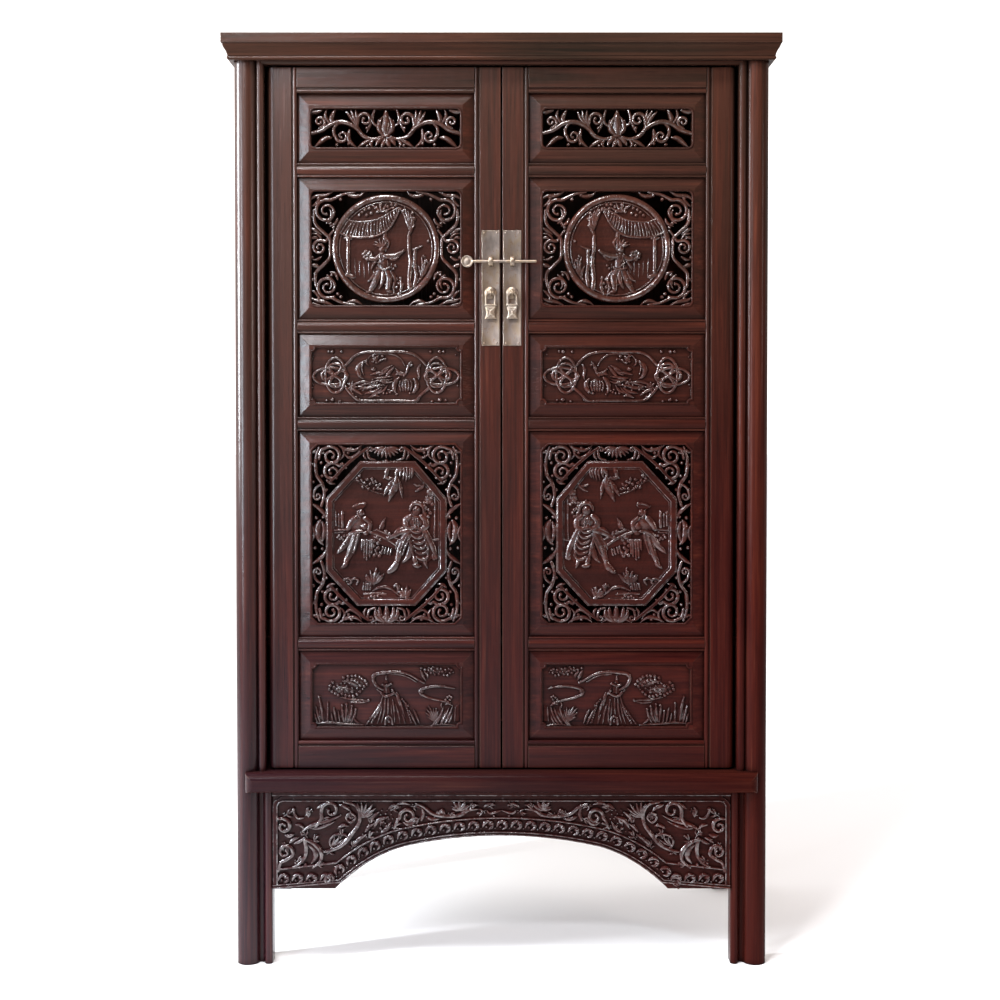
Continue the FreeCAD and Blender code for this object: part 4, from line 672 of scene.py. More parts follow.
vine_left.leaves(vine_ground,
    (8, 25, -432, 259, -424, 257, -414, 261), (13, 24, -386, 239, -374, 229, -371, 215, -381, 200),
    (8, 25.5, -398, 266, -384, 276, -365, 283, -342, 289, -319, 300),
    (6, 25, -381, 273, -365, 273, -342, 282, -331, 288), (6, 24.5, -411, 280, -400, 278, -393, 271),
    (7, 25, -368, 313, -357, 320, -341, 325), (7, 25, -385, 296, -388, 308, -384, 316),
    (8, 25.5, -195, 285, -187, 281, -177, 284, -171, 295), (7, 24.5, -160, 288, -156, 304, -161, 319),
    (7, 25.5, -126, 300, -118, 309, -112, 300), (8, 26, -97, 297, -81, 300, -67, 309, -46, 312),
    (5, 25, -60, 312, -53, 319, -46, 320), (5, 24.5, -29, 309, -22, 303, 0, 309),
    (6, 24, -35, 316, -23, 322, -12, 318), (9, 24.6, -254, 275, -245, 289, -225, 296),
    (8, 24.6, -260, 285, -256, 296, -244, 306), (8, 24.6, -240, 264, -228, 272, -220, 286),
    (7, 24.6, -272, 266, -263, 277, -253, 282), (8, 24.6, -297, 237, -285, 250, -269, 261),
    (7, 24.6, -326, 273, -315, 279, -305, 277), (7, 24.6, -414, 242, -403, 246, -393, 254),
    (7, 24.6, -423, 244, -414, 251, -405, 254), (9, 24.6, -323, 320, -310, 315, -301, 307),
    (7, 24.6, -225, 312, -214, 319, -201, 316), (8, 24.6, -150, 296, -137, 291, -124, 292),
    (7, 24.6, -208, 321, -195, 324, -182, 320))
vine_left.strands(vine_ground,
    ([7, 7, 5, 3], 25.5, -393, 251, -390, 232, -392, 216, -402, 203, -416, 195),
    ([4, 7, 8, 5, 3], 26, -393, 251, -373, 241, -360, 224, -362, 207, -377, 194),
    ([3, 4.5, 3], 24.5, -415, 311, -412, 300, -405, 293, -396, 294),
    ([3, 6, 8, 7, 6, 5, 3], 26, -354, 226, -336, 230, -315, 242, -297, 264, -285, 282, -283, 303, -293, 320,
     -315, 326), ([3, 5, 6, 6, 5, 3], 25.5, -171, 323, -155, 316, -139, 303, -121, 298, -96, 297, -76, 301))
vine_left.bosses(vine_ground,
    (-415, 311, 4.2, 25.5), (-301, 295, 9, 23.5), (-301, 295, 3.4, 26), (-118, 306, 5, 26),
    (-60, 312, 4.6, 26), (-15, 298, 2.6, 24.5), (-239, 285, 7, 23.4, 5, 30))
vine_left.beads(vine_ground,
    (3.4, 25.5, -411, 203, -403, 195, -391, 200, -398, 261),
    (1.9, 23.6, -256, 273, -248, 266, -239, 271, -230, 273, -253, 282, -241, 280, -232, 283, -222, 282,
     -256, 292, -245, 289, -236, 293, -225, 292, -241, 300, -231, 302, -239, 309, -228, 309, -265, 280,
     -269, 269, -277, 261, -285, 251, -294, 245, -304, 237, -217, 292, -220, 301),
    (3.6, 24.8, -241, 273, -229, 277))


def sprig(board, x, z, lean, size):
    """Three small leaves on a twig with a berry."""
    at = turned(x, z, lean, size)
    board.strand([at(-12, -2), at(-4, 0), at(4, 0)], 2.2 * size, vine_ground, 23)
    board.leaf([at(2, 0), at(8, 3), at(15, 1)], 5 * size, vine_ground, 25)
    board.leaf([at(-3, 0), at(2, 6), at(9, 10)], 4.6 * size, vine_ground, 24.5)
    board.leaf([at(-5, 0), at(0, -6), at(6, -9)], 4.6 * size, vine_ground, 24.5)
    board.ball(at(-9, 4), 2.6 * size, vine_ground, 24.4)


for x, z, lean, size in (
        (-425, 302, 20, 0.9), (-392, 262, 110, 0.8), (-432, 236, -60, 0.8), (-372, 250, 40, 0.8),
        (-404, 208, 20, 0.8), (-352, 292, -30, 0.8), (-318, 262, 60, 0.8), (-384, 306, -140, 0.7),
        (-340, 226, 20, 0.8), (-362, 200, 10, 0.7), (-300, 300, 160, 0.7), (-296, 240, 60, 0.7),
        (-262, 258, 40, 0.8), (-262, 292, -30, 0.7), (-212, 312, 10, 0.8), (-210, 278, 20, 0.8),
        (-172, 316, -20, 0.7), (-168, 290, 200, 0.7), (-128, 300, 30, 0.7), (-88, 316, 170, 0.7),
        (-100, 300, -10, 0.7), (-40, 306, 190, 0.7), (-20, 318, 10, 0.6), (-60, 318, 20, 0.6)):
    sprig(vine_left, x, z, lean, size)
for side in (1, -1):
    first = len(apron.corners)
    apron.corners += [(side * x, z, depth) for x, z, depth in vine_left.corners]
    apron.rubbed_and_sheen += vine_left.rubbed_and_sheen
    apron.faces += [tuple(first + spot for spot in face) for face in vine_left.faces]
apron_lacquer = lacquered_wood("lacquer_apron", "x", 9.4, carved=True, gloss=1.5)
front_apron = apron.piece("front_apron_carved", (0, -215, 0), apron_lacquer)
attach(front_apron, "cabinet")
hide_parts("front_apron")

# Scroll panels: the pierced board at the top of each door, with a lotus bud in the middle of
# a running vine. The board is bevelled all round, and a thin bead borders its opening.


def select_parts(thing, kind, wanted):
    """Leaves the faces or edges of a piece selected that answer a question."""
    pick(thing)
    bpy.ops.object.mode_set(mode="EDIT")
    bpy.ops.mesh.select_mode(type=kind)
    bpy.ops.mesh.select_all(action="DESELECT")
    bpy.ops.object.mode_set(mode="OBJECT")
    for part in thing.data.polygons if kind == "FACE" else thing.data.edges:
        part.select = wanted(part)
    bpy.ops.object.mode_set(mode="EDIT")


def box(middle, sides):
    """A block round its middle."""
    bpy.ops.mesh.primitive_cube_add(size=1, location=middle, scale=sides)
    bpy.ops.object.transform_apply(location=True, rotation=True, scale=True)
    return bpy.context.object


panel_x = 0.23


def panel_board(kind, middle, height, half_tall, corner, pierced):
    """A board for each door with a wide bevel round a field that is pierced or sunk."""
    shapes = {"round": (0.009, 6, 0.5), "notch": (0.009, 6, 0.12), "cut": (0.01, 1, 0.5)}
    size, steps, profile = shapes[corner]
    for door, side in (("left", -1), ("right", 1)):
        place = (side * panel_x, -0.2095, middle / 1000)
        board = box(place, (0.352, 0.017, height / 1000))
        board.name = f"{door}_{kind}_board"
        select_parts(board, "FACE", lambda face: face.normal.y < -0.9)
        bpy.ops.mesh.extrude_region_move(TRANSFORM_OT_translate={"value": (0, -0.006, 0)})
        bpy.ops.transform.resize(value=(306 / 352, 1, (height - 46) / height), center_override=place)
        bpy.ops.object.mode_set(mode="OBJECT")

        front, back = -0.24, -0.19 if pierced else -0.218
        cutter = box((side * panel_x, (back + front) / 2, middle / 1000),
                     (0.296, back - front, half_tall / 500))
        ends = cutter.data.vertices
        select_parts(cutter, "EDGE", lambda edge: abs(
            ends[edge.vertices[0]].co.y - ends[edge.vertices[1]].co.y) > 0.001)
        bpy.ops.mesh.bevel(offset=size, segments=steps, profile=profile)
        bpy.ops.object.mode_set(mode="OBJECT")
        opening = board.modifiers.new("opening", "BOOLEAN")
        opening.operation = "DIFFERENCE"
        opening.object = cutter
        bpy.context.view_layer.objects.active = board
        bpy.ops.object.modifier_apply(modifier="opening")
        bpy.data.objects.remove(cutter)
        board.data.materials.clear()
        board.data.materials.append(panel_lacquer)
        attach(board, f"{door}_door")
        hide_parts(f"{door}_{kind}_panel")


def field_edge(half_tall, corner, offset):
    """Points along the edge of a field, an offset outside it."""
    wide = 148
    points = []
    for side_x, side_z in ((1, 1), (-1, 1), (-1, -1), (1, -1)):
        turns = {
            "round": [(-9 + (9 + offset) * math.cos(a), -9 + (9 + offset) * math.sin(a))
                      for a in (0, 0.39, 0.79, 1.18, 1.57)],
            "notch": [(-(9 - offset) * math.cos(a), -(9 - offset) * math.sin(a))
                      for a in (1.97, 1.57, 1.18, 0.79, 0.39, 0, -0.4)],
            "cut": [(offset, -10 - offset * 0.4), (-10 - offset * 0.4, offset)],
        }[corner]
        if side_x * side_z < 0:
            turns = turns[::-1]
        points += [(side_x * (wide + x), side_z * (half_tall + z)) for x, z in turns]
    return points


def hang_carving(carving, kind, middle, half_tall, corner):
    """Adds the bead and stands a carving in the panel of each door, mirrored on the right."""
    carving.strand(field_edge(half_tall, corner, 2.4), 4.8, 12.5, 15.5, "bead", closed=True, mitred=True)
    for door, side in (("left", 1), ("right", -1)):
        place = (-1000 * side * panel_x, -210, middle)
        piece = carving.piece(f"{door}_{kind}_carving", place, carved_lacquer, side)
        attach(piece, f"{door}_door")


panel_lacquer = lacquered_wood("lacquer_panels", "x", 15.1)
panel_board("scroll", 1667, 138, 38, "round", True)
scroll = Carving(1.3)
scroll.ball((0, 3), 15, 0, 13, 18, sides=16)
scroll.leaves(0,
    (17, 14.6, 0, -16, -1, 0, 1, 14, 0, 36), (8, 13.6, -3, -14, -13, -2, -12, 12, -5, 24),
    (8, 13.6, 3, -14, 13, -2, 12, 12, 5, 24))
scroll.repeat(2)
scroll.scroll([(-9, -17), (-26, -21), (-45, -14), (-57, 3)], (-41, 17), 15, 190, -1.15, 6, 0, 13)
scroll.scroll([(-94, 11), (-103, 0), (-102, -14)], (-87, -15), 13, 180, 1.2, 5, 0, 12.5)
scroll.scroll([(-116, 4), (-132, 0)], (-131, 13), 12, -80, 1.2, 5, 0, 13)
scroll.leaves(0,
    (9, 12.5, 3, -12, 10, -4, 14, 6, 15, 17), (10, 13, 2, -18, 10, -20, 16, -27, 19, -34),
    (9, 12.5, 1, -20, 4, -28, 9, -38), (8, 12.5, -104, 8, -108, 20, -100, 38),
    (6, 12, -110, 8, -120, 24, -117, 38), (8, 12, -72, -2, -74, -22, -58, -38),
    (8, 12, -108, -18, -122, -20, -142, -38), (7, 12, -28, -22, -40, -27, -56, -38),
    (6, 12, -24, -22, -30, -30, -26, -38), (5, 11, -26, 20, -30, 10, -38, -8))
scroll.strands(0,
    ([4, 6, 7, 6, 5], 14, -46, -12, -64, 5, -86, 13, -108, 9, -126, -3, -149, -10),
    ([6, 7, 4], 12, -149, 34, -140, 33, -128, 36), ([3, 5, 3], 11, -15, 4, -24, 10, -27, 20, -22, 38))
scroll.beads(0, (3.4, 12.5, -37, 1, -73, -30, -97, -32, -36, -34))
scroll.repeat(1)
for way in (1, -1):
    scroll.fan((way * -57, 2), [(way * -79, 33), (way * -70, 36), (way * -60, 36)], 7, 0, 13)
scroll.ball((0, -15), 9, 0, 14.5, 3.4, sides=12)
hang_carving(scroll, "scroll", 1667, 38, "round")

# Medallion panels: a ring round a garden scene in relief on solid ground, held in the corners
# of the pierced board by scrolls that run from the ring to its edge.

panel_board("medallion", 1429, 282, 113, "round", True)
medallion = Carving(1.25)
ground = 7
radius = 101.5
circle = [(radius * math.cos(math.radians(a)), radius * math.sin(math.radians(a))) for a in range(0, 360, 5)]
medallion.slab([(0.985 * x, 0.985 * z) for x, z in circle], 0, 8, 0.5)
medallion.strand(circle, 12.5, 0, 14, closed=True, mitred=True)
medallion.strand([(0.91 * x, 0.91 * z) for x, z in circle], 3, 6, 10.5, closed=True, mitred=True)
roof_low = smooth_path([(-94, 32), (-72, 24), (-47, 22), (-16, 26), (9, 43), (26, 73)], step=6)
roof_high = smooth_path([(-78, 59), (-66, 54), (-47, 53), (-16, 58), (9, 72), (26, 81)], step=6)
medallion.slab(roof_high + roof_low[::-1], ground, 10.8, 1.5)
for rib in range(26):
    share = (rib + 0.5) / 26
    top = roof_high[round(share * (len(roof_high) - 1))]
    low = roof_low[round(share * (len(roof_low) - 1))]
    sag = ((top[0] + low[0]) / 2 - 1, (top[1] + low[1]) / 2 - 1)
    medallion.strand([top, sag, low], [1.6, 2.4, 3], 8, [11, 13.2, 11.5])
medallion.strand(roof_low, [3, 4, 4, 3], ground, 13.2)
medallion.strand(roof_high, [2.5, 3, 3.5, 2.5], ground, 12.4)
medallion.fan((-10, 72), [(-29, 87), (-13, 92), (2, 90), (15, 83)], 5, ground, 12)
medallion.strand([(-75, 23), (-75, -51)], 6.5, ground, 13, step=6)
medallion.strand([(-93, 24), (-93, -43)], 2.4, ground, 9.4, step=8)
medallion.strand([(-2, 32), (-2, -3)], 8, ground, 11.5, step=6)
medallion.fan((46, 38), [(29, 80), (37, 82), (44, 77), (55, 66), (58, 47)], 7, ground, 13)
medallion.fan((71, -58), [(71, -15), (78, -18), (85, -26), (78, -37), (64, -33)], 6, ground, 12)
medallion.fan((-8, 2), [(-25, 8), (-22, 14), (-14, 18), (-6, 18), (1, 13)], 5, ground, 14)
for line in range(9):
    x = -62 + line * 9
    medallion.strand([(x, -20 - line % 3 * 5), (x + 1, -58 + line % 2 * 6)], 1.6, ground, 8.9, step=9)
medallion.leaves(ground,
    (6, 12, -4, 25, 6, 13, 2, -1), (8, 13, 43, 22, 50, 38, 53, 56, 46, 72),
    (7, 13.2, 5, -19, 17, -21, 29, -13), (6, 12.8, -18, -24, -25, -32, -29, -42),
    (10, 14.8, -6, -41, -5, -55, -8, -70, -13, -80), (8, 12.6, -20, -45, -26, -57, -37, -66),
    (8, 12.6, 8, -45, 16, -55, 20, -69), (6, 11.5, 20, -61, 15, -77, 20, -95),
    (6, 11.5, 29, -58, 31, -77, 27, -95))
medallion.strands(ground,
    (8, 12.5, -80, -52, -65, -56), (5, 12.5, -82, 21, -69, 20),
    ([6, 6, 8, 7, 9], 13, 46, 24, 46, -2, 49, -27, 46, -55, 48, -80),
    ([5, 7, 6, 8], 12.5, 58, -3, 57, -30, 60, -55, 57, -74), ([4, 5, 3], 11.5, 48, -10, 50, -37, 48, -61),
    ([4, 4, 2], 12, 54, -2, 65, 2, 72, 5), ([11, 17, 16], 13.2, -8, -9, -6, -24, -5, -41),
    ([9, 9, 8, 4], 14.8, -3, -15, 11, -15, 24, -11, 36, -4),
    ([9, 9, 6], 14.4, -13, -15, -22, -21, -32, -20),
    ([11, 13, 12, 8], 13.2, -12, -42, -18, -58, -24, -71, -31, -83),
    ([11, 13, 12, 8], 13.6, 0, -42, 6, -55, 5, -70, 4, -82), (3.6, 15.4, -18, -39, -5, -42, 7, -38),
    (2.4, 15.2, -13, -12, -8, -25, 0, -12), (2, 14.8, -16, -28, -10, -32, -6, -37),
    (2, 14.6, -20, -61, -21, -69, -26, -76), (2, 14.8, 9, -59, 8, -69, 7, -77),
    ([5, 7, 6, 3], 12, 46, -92, 58, -84, 67, -75, 73, -64))
medallion.bosses(ground,
    (-8, -2, 7.2, 15, 8.6), (-34, -86, 8, 13, 4.2, 15), (8, -86, 8, 13, 4.2, -10))
medallion.beads(ground,
    (4.2, 12.5, -47, 72, -41, 77, -33, 80, -29, 70, -19, 81, -10, 87, -4, 78, -16, 73, 4, 83, 12, 87, 15,
     80, 2, 73, -53, 66, -38, 66, 20, 86), (4.5, 13, 29, 78, 35, 75, 41, 70, 53, 70, 57, 59, 46, 63),
    (4, 12, 75, -15, 81, -24, 77, -33, 84, 15, 68, -61, 75, -71),
    (5.6, 14.2, -44, -11, -39, -6, -32, -8, -42, -17, -36, -13, -29, -14, -37, -21, -31, -20),
    (4, 11.5, 19, -34, 15, -40, 22, -61, 29, -58, 26, -69, 21, -77, 29, -81, 33, -72, 16, -69, 26, -91, 35,
     -92, 15, -89, -1, -71))
medallion.repeat(2)
medallion.scroll([(-62, 112), (-84, 108), (-100, 101)], (-118, 74), 24, 70, 1.55, 5.4, 0, 13)
medallion.scroll([(-62, -112), (-86, -108), (-100, -102)], (-116, -76), 23, -70, -1.55, 5.4, 0, 13)
medallion.scroll([(-104, 36), (-112, 26), (-118, 16)], (-132, 2), 15, 60, 1.4, 5, 0, 13)
medallion.leaves(0,
    (6, 12.4, -118, 50, -110, 58, -108, 70, -112, 78),
    (6, 12.4, -118, -52, -110, -60, -108, -72, -112, -80), (6, 12, -146, 84, -138, 90, -130, 102),
    (6, 12, -146, -84, -138, -90, -130, -102), (5, 12, -128, 20, -136, 28, -147, 30),
    (5, 12, -128, -16, -138, -22, -147, -22), (8, 12, -149, 98, -140, 104, -120, 106, -104, 114),
    (8, 12, -149, -98, -140, -103, -122, -106, -104, -114), (7, 12, -76, 108, -64, 104, -50, 106, -42, 114),
    (7, 12, -80, -108, -66, -104, -54, -107, -46, -114), (8, 12, -149, 40, -140, 36, -128, 28),
    (8, 12, -149, -32, -140, -34, -130, -38), (6, 12, -149, 20, -140, 22, -134, 17),
    (6, 12, -96, 60, -100, 50, -112, 44), (6, 12, -96, -62, -100, -50, -112, -46),
    (5, 12, -149, -108, -136, -112, -126, -114))
medallion.strands(0,
    ([4, 5.6, 5.8, 5, 4.4], 13.5, -143, 76, -141, 50, -124, 32, -112, 20, -111, 2),
    ([4.4, 5, 5.8, 5.6, 4], 13.5, -111, 2, -112, -18, -124, -32, -140, -50, -139, -76))
medallion.beads(0,
    (3.6, 12.5, -134, 100, -146, 62, -110, 50, -104, 42, -146, -62, -108, -52, -90, -96, -134, -100, -147,
     -18, -96, -90, -104, -96, -72, 106, -90, 98))
medallion.repeat(1)
hang_carving(medallion, "medallion", 1429, 113, "round")

# Knot panels: a solid board whose field is sunk round a long frame of cord that knots itself
# on both sides, with fruit, leaves and berries inside it.

panel_board("knot", 1177, 166, 55, "notch", False)
knot = Carving(1.25)
sunk = 6.5
loops = [[(101 + 20 * math.cos(a * math.pi / 8), 35 * math.sin(a * math.pi / 8)) for a in range(16)],
         [(111 + 34 * math.cos(a * math.pi / 8), 17 * math.sin(a * math.pi / 8) - 2) for a in range(16)],
         [(101 + 12 * math.sin(a * math.pi / 4), 23 * math.sin(a * math.pi / 8)) for a in range(16)],
         [(104 + 24 * math.sin(a * math.pi / 8), 9 * math.sin(a * math.pi / 4)) for a in range(16)]]
eyes = [(3, (-115, 47)), (4.6, (-107, 47)), (3.6, (-89, 47)), (3, (-119, -50)),
        (4.6, (-107, -49)), (3.4, (-92, -52))]
knot.repeat(2)
for first, loop in enumerate(loops):
    knot.strand(loop, 5, sunk, [12 + (first + spot) % 2 * 1.6 for spot in range(9)], closed=True)
for radius, place in eyes:
    knot.ball(place, radius, sunk, 12.6)
knot.repeat(1)
knot.ball((39, -21), 16, sunk, 11.6, 14, sides=16)
for rib in (-10, -5, 0, 5, 10):
    knot.strand([(39 + rib, -11), (39 + rib * 1.25, -21), (39 + rib, -31)], 2.4, sunk, 13)
knot.fan((-68, -23), [(-76, -16), (-68, -12), (-59, -16), (-55, -23), (-60, -32), (-69, -34), (-76, -28)],
         5, sunk, 12.4)
knot.leaves(sunk,
    (12, 12.5, -41, 29, -50, 23, -56, 12, -52, -2, -44, -7), (5, 12.6, -31, 1, -16, 5, -1, 6),
    (6, 12.6, -8, 9, 3, 15, 14, 20), (5, 12.6, -23, -6, -5, -5, 13, -2),
    (6, 12.6, -67, -19, -48, -13, -30, -14), (5, 12.6, -56, -22, -38, -26, -20, -22),
    (6, 12.6, -41, -36, -23, -32, -12, -24), (6, 12.6, -71, -27, -58, -32, -46, -40),
    (5, 12.6, -13, -11, 2, -15, 14, -12), (5, 12.6, -16, -36, -4, -30, 3, -19),
    (5, 12.6, 19, 13, 28, 5, 41, 4), (4, 12.6, -17, 23, -12, 29, -3, 33),
    (4, 12.6, -38, 33, -39, 24, -33, 18), (7, 12.8, 16, 17, 8, 8, 2, 0, -4, -8),
    (7, 12.4, 6, 14, -2, 7, -9, 2, -15, 1), (6, 12, 21, 7, 28, 2, 38, 3, 44, 12),
    (7, 13, 68, 22, 64, 10, 66, -2, 64, -9), (11, 13, 27, -4, 19, -13, 16, -26, 20, -37),
    (11, 13, 55, -7, 61, -16, 59, -28, 51, -36), (7, 12.4, 19, 1, 28, 5, 38, 2),
    (5, 11.6, -58, -23, -43, -18, -25, -13, -8, -9), (5, 11.4, -55, -28, -38, -24, -20, -21, 0, -19),
    (6, 12, -34, -45, -25, -39, -13, -31, -7, -23), (5, 11.6, -13, -42, -22, -41, -32, -45),
    (5, 11.8, -22, -5, -12, -10, 3, -10, 13, -7))
knot.strands(sunk,
    (5, 12.6, -81, 20, -73, 28, -62, 39, -43, 46, -7, 46, 28, 47, 54, 42, 69, 32, 80, 20),
    (5.2, 12.8, -81, -23, -73, -34, -58, -48, -43, -51, -7, -51, 28, -51, 56, -51, 71, -38, 88, -23),
    (3, 11, -62, -48, -45, -54, 3, -53, 54, -54, 66, -48), (2, 13.2, -45, 29, -48, 15, -45, 2),
    ([2, 3, 3, 3, 2.5], 10.8, -38, 29, -32, 38, -22, 42, -5, 43, 16, 41, 30, 32, 37, 20),
    ([3, 5, 4, 3], 12.5, 50, 26, 44, 17, 41, 7, 35, -2))
knot.bosses(sunk,
    (-25, 12, 6, 12.8, 5), (-21, 32, 7, 12.5, 8, 20), (-67, -23, 3.6, 13))
knot.beads(sunk,
    (2.6, 12.4, -45, -29, -30, -30, -50, -38, 6, -29, -5, -36, -23, -15, -32, -19, 18, -18, 14, -26, 22, -8,
     -67, -37, -59, -43), (3.4, 13.2, -25, 38, -17, 37, -11, 30, -1, 32, -7, 38, -19, 25, -25, 27),
    (3.6, 13, 47, 23, 51, 20, 44, 14),
    (3, 12.4, 21, -38, 47, -36, 56, -34, 12, -31, 8, -34, 2, -36, -5, -36, 16, -23),
    (2.8, 11.8, -19, -16, -12, -19, -6, -15, -25, -19, -17, -23, 0, -14, -27, -9),
    (2.2, 10.5, -145, -19, -147, -25, -144, 37, -147, 32, 142, -21, 139, 41))
hang_carving(knot, "knot", 1177, 55, "notch")

# Figure panels: the tall pierced board with an eight-sided frame round people at a table in a
# garden, and scrolls, lotus flowers and a shell between the frame and the edge.

panel_board("figure", 860, 412, 178, "cut", True)
figures = Carving(1.2)
band = [(57, 144), (-51, 144), (-119, 70), (-119, -74), (-57, -142), (57, -142), (119, -74), (119, 70)]
figures.slab([(0.97 * x, 0.975 * z) for x, z in band], 0, 8, 0.5)
figures.strand([(0.95 * x, 0.958 * z) for x, z in band], 12, 0, 14, form="flat", closed=True, mitred=True)
figures.strand([(0.885 * x, 0.905 * z) for x, z in band], 2.6, 6, 10.5, closed=True, mitred=True)
figures.strand([(1.005 * x, 1.004 * z) for x, z in band], 2.6, 2, 13, closed=True, mitred=True)
spray = [(-67, 116), (-59, 111), (-53, 116), (-49, 107), (-43, 102), (-38, 109), (-32, 100), (-39, 94),
         (-26, 103), (-19, 97), (-16, 91), (-24, 90), (-35, 90), (-47, 94), (-56, 106), (-10, 90),
         (-13, 99), (-28, 110), (-21, 105), (-63, 119)]
for count, spot in enumerate(spray):
    figures.ball(spot, 4.6, ground, 13, 3.4, count * 37)
for x, low in [(28, 112), (35, 107), (41, 105), (47, 109), (52, 112)]:
    figures.leaf([(x, 134), (x + 1, 122), (x - 2, low)], 6.5, ground, 13.4)
figures.leaves(ground,
    (10, 12.6, 5, 137, 1, 125, -1, 116, -6, 111), (17, 13.8, 21, 117, 19, 100, 12, 85, 4, 65),
    (12, 13, 15, 111, 8, 97, 1, 88, -6, 76), (9, 12.6, 24, 111, 28, 94, 30, 82, 32, 71),
    (11, 13.4, 18, 116, 23, 126, 29, 132, 37, 136), (9, 12.4, -4, 116, 5, 111, 15, 113),
    (7, 12.5, 58, 85, 67, 90, 74, 96, 76, 103), (5, 11.5, 55, 100, 64, 96, 73, 97))
figures.strands(ground, ([2, 3, 3, 2], 10, -68, 110, -47, 99, -28, 86, -4, 79))
figures.bosses(ground, (17, 100, 8, 14.2, 10))

# The person on the left sits and pours, in a flat cap and a long robe.
figures.slab([(-67, 53), (-60, 62), (-43, 65), (-40, 57), (-47, 50), (-60, 49)], ground, 13, 1.5)
figures.ball((-56, 20), 20, ground, 12.8, 15, 25, sides=14)
figures.leaves(ground,
    (11, 14.2, -78, -54, -83, -62, -91, -69), (9, 13.8, -88, -28, -93, -33, -99, -39))
figures.strands(ground,
    (4, 14.2, -66, 55, -55, 60, -41, 61), (5, 13.4, -57, 46, -56, 39, -52, 33),
    ([12, 13, 9], 14, -61, 32, -70, 23, -77, 10), ([9, 10, 8], 13.6, -44, 32, -33, 22, -35, 6),
    ([6, 7, 6], 13.8, -47, 5, -59, 5, -68, 0),
    ([17, 17, 13, 9], 13.2, -61, 2, -66, -17, -74, -39, -82, -57),
    ([3, 4, 3], 14.6, -63, -3, -69, -23, -77, -45), ([3, 4, 3], 14.2, -56, 0, -60, -20, -66, -39),
    ([14, 13, 9], 12.8, -68, 0, -79, -18, -92, -32), ([2, 3, 2], 14, -72, -2, -81, -16, -90, -26))
figures.bosses(ground,
    (-51, 43, 8, 14, 9.5), (-45, 41, 2.4, 14.6, 3), (-43, 15, 10, 14.2, 9), (-41, 2, 7.5, 14.4, 6))

# The table stands askew with a jug, cups and a cloth.
figures.slab([(-31, 5), (-19, 10), (28, -11), (16, -31), (-12, -22), (-30, -11)], ground, 11.2, 1.5)
for x, z in [(-6, -25), (-1, -27), (5, -29), (10, -31)]:
    figures.strand([(x, z), (x - 3, z - 11)], 3.6, ground, 13)
for x, low in [(-48, -31), (-43, -47), (-38, -51), (-32, -45), (-28, -39)]:
    figures.strand([(x, -12), (x - 1.5, low)], [5.6, 3.6], ground, 12.8)
figures.leaves(ground, (7, 14, -14, 9, -8, 20, -1, 33))
figures.strands(ground,
    (5.4, 12.8, -32, 3, -16, -2, 2, -11, 19, -22), (3.4, 12.4, -19, 9, 2, 0, 26, -11))
figures.bosses(ground,
    (-8, 17, 6.4, 13.6, 10, -14), (-19, -7, 8, 13.6, 5))
figures.beads(ground,
    (5, 13, -24, -14, -17, -19, -16, -28, -21, -33, -25, -24, -12, -12, -1, 5, 6, 1, -19, -39, -14, -44,
     -11, -38, -24, -43))

# The person on the right leans to the table, in a brimmed hat and a robe with curved folds.
for x in (54, 58, 63):
    figures.strand([(x, 32), (x + 1, 14)], [3.2, 2], ground, 15.2)
figures.ball((58, 26), 20, ground, 12.4, 18, sides=14)
figures.slab([(47, 12), (64, 15), (79, 5), (90, -20), (100, -45), (80, -60), (63, -59), (49, -45),
              (42, -17)], ground, 11.4, 2.5)
for lean in (13, 2, -9, -19, -30, -41):
    shift = 6 - lean * 0.22
    fold = [(shift + across, lean + drop) for across, drop in ((45, -4), (53, -9), (63, -9), (70, -1))]
    figures.strand(fold, [3, 5.5, 5.5, 3], ground, 14.4)
figures.leaves(ground,
    (10, 13.4, 39, 11, 27, 9, 15, 1), (9, 13.8, 45, -5, 49, -23, 53, -39, 56, -50),
    (11, 14.4, 53, -61, 61, -64, 70, -64), (9, 13, 75, -47, 78, -59, 82, -69),
    (9, 13, 92, -42, 96, -50, 100, -45), (15, 12.8, 47, -15, 48, -31, 42, -47, 32, -58),
    (10, 13, 35, -6, 23, -18, 18, -31))
figures.strands(ground,
    ([4, 7, 8, 7, 4], 14, 47, 48, 52, 59, 61, 62, 71, 58, 75, 47),
    ([9, 13, 13, 9, 6], 14.4, 49, 36, 40, 29, 39, 17, 49, 11, 58, 16),
    ([9, 13, 14, 9, 6], 14.4, 69, 36, 77, 29, 79, 16, 71, 10, 61, 13), (2.4, 15.6, 42, 26, 43, 18),
    (2.4, 15.6, 76, 26, 76, 17), ([11, 11, 9, 6], 13.8, 45, 7, 28, 3, 16, -3, 6, -8),
    ([9, 12, 11, 6], 13.6, 76, 10, 85, -9, 94, -29, 100, -48),
    ([4, 6, 6, 3], 13.6, 71, 14, 77, -5, 83, -26, 82, -43), ([10, 9], 14, 56, -48, 59, -58),
    ([17, 19, 14, 10], 13.4, 44, 0, 34, -17, 26, -37, 21, -54),
    ([2.6, 3.6, 2.6], 15, 41, -5, 32, -23, 27, -39), ([2.6, 3.6, 2.6], 14.4, 46, -9, 38, -26, 32, -41),
    ([10, 14, 9], 14.4, 21, -56, 15, -67, 5, -76))
figures.bosses(ground,
    (60, 47, 10.5, 15, 12), (59, 13, 7, 15.4, 6), (4, -8, 6.4, 14.4))
figures.beads(ground,
    (3, 14, 53, 63, 61, 66, 69, 63), (2.6, 16, 55, 49, 64, 49))

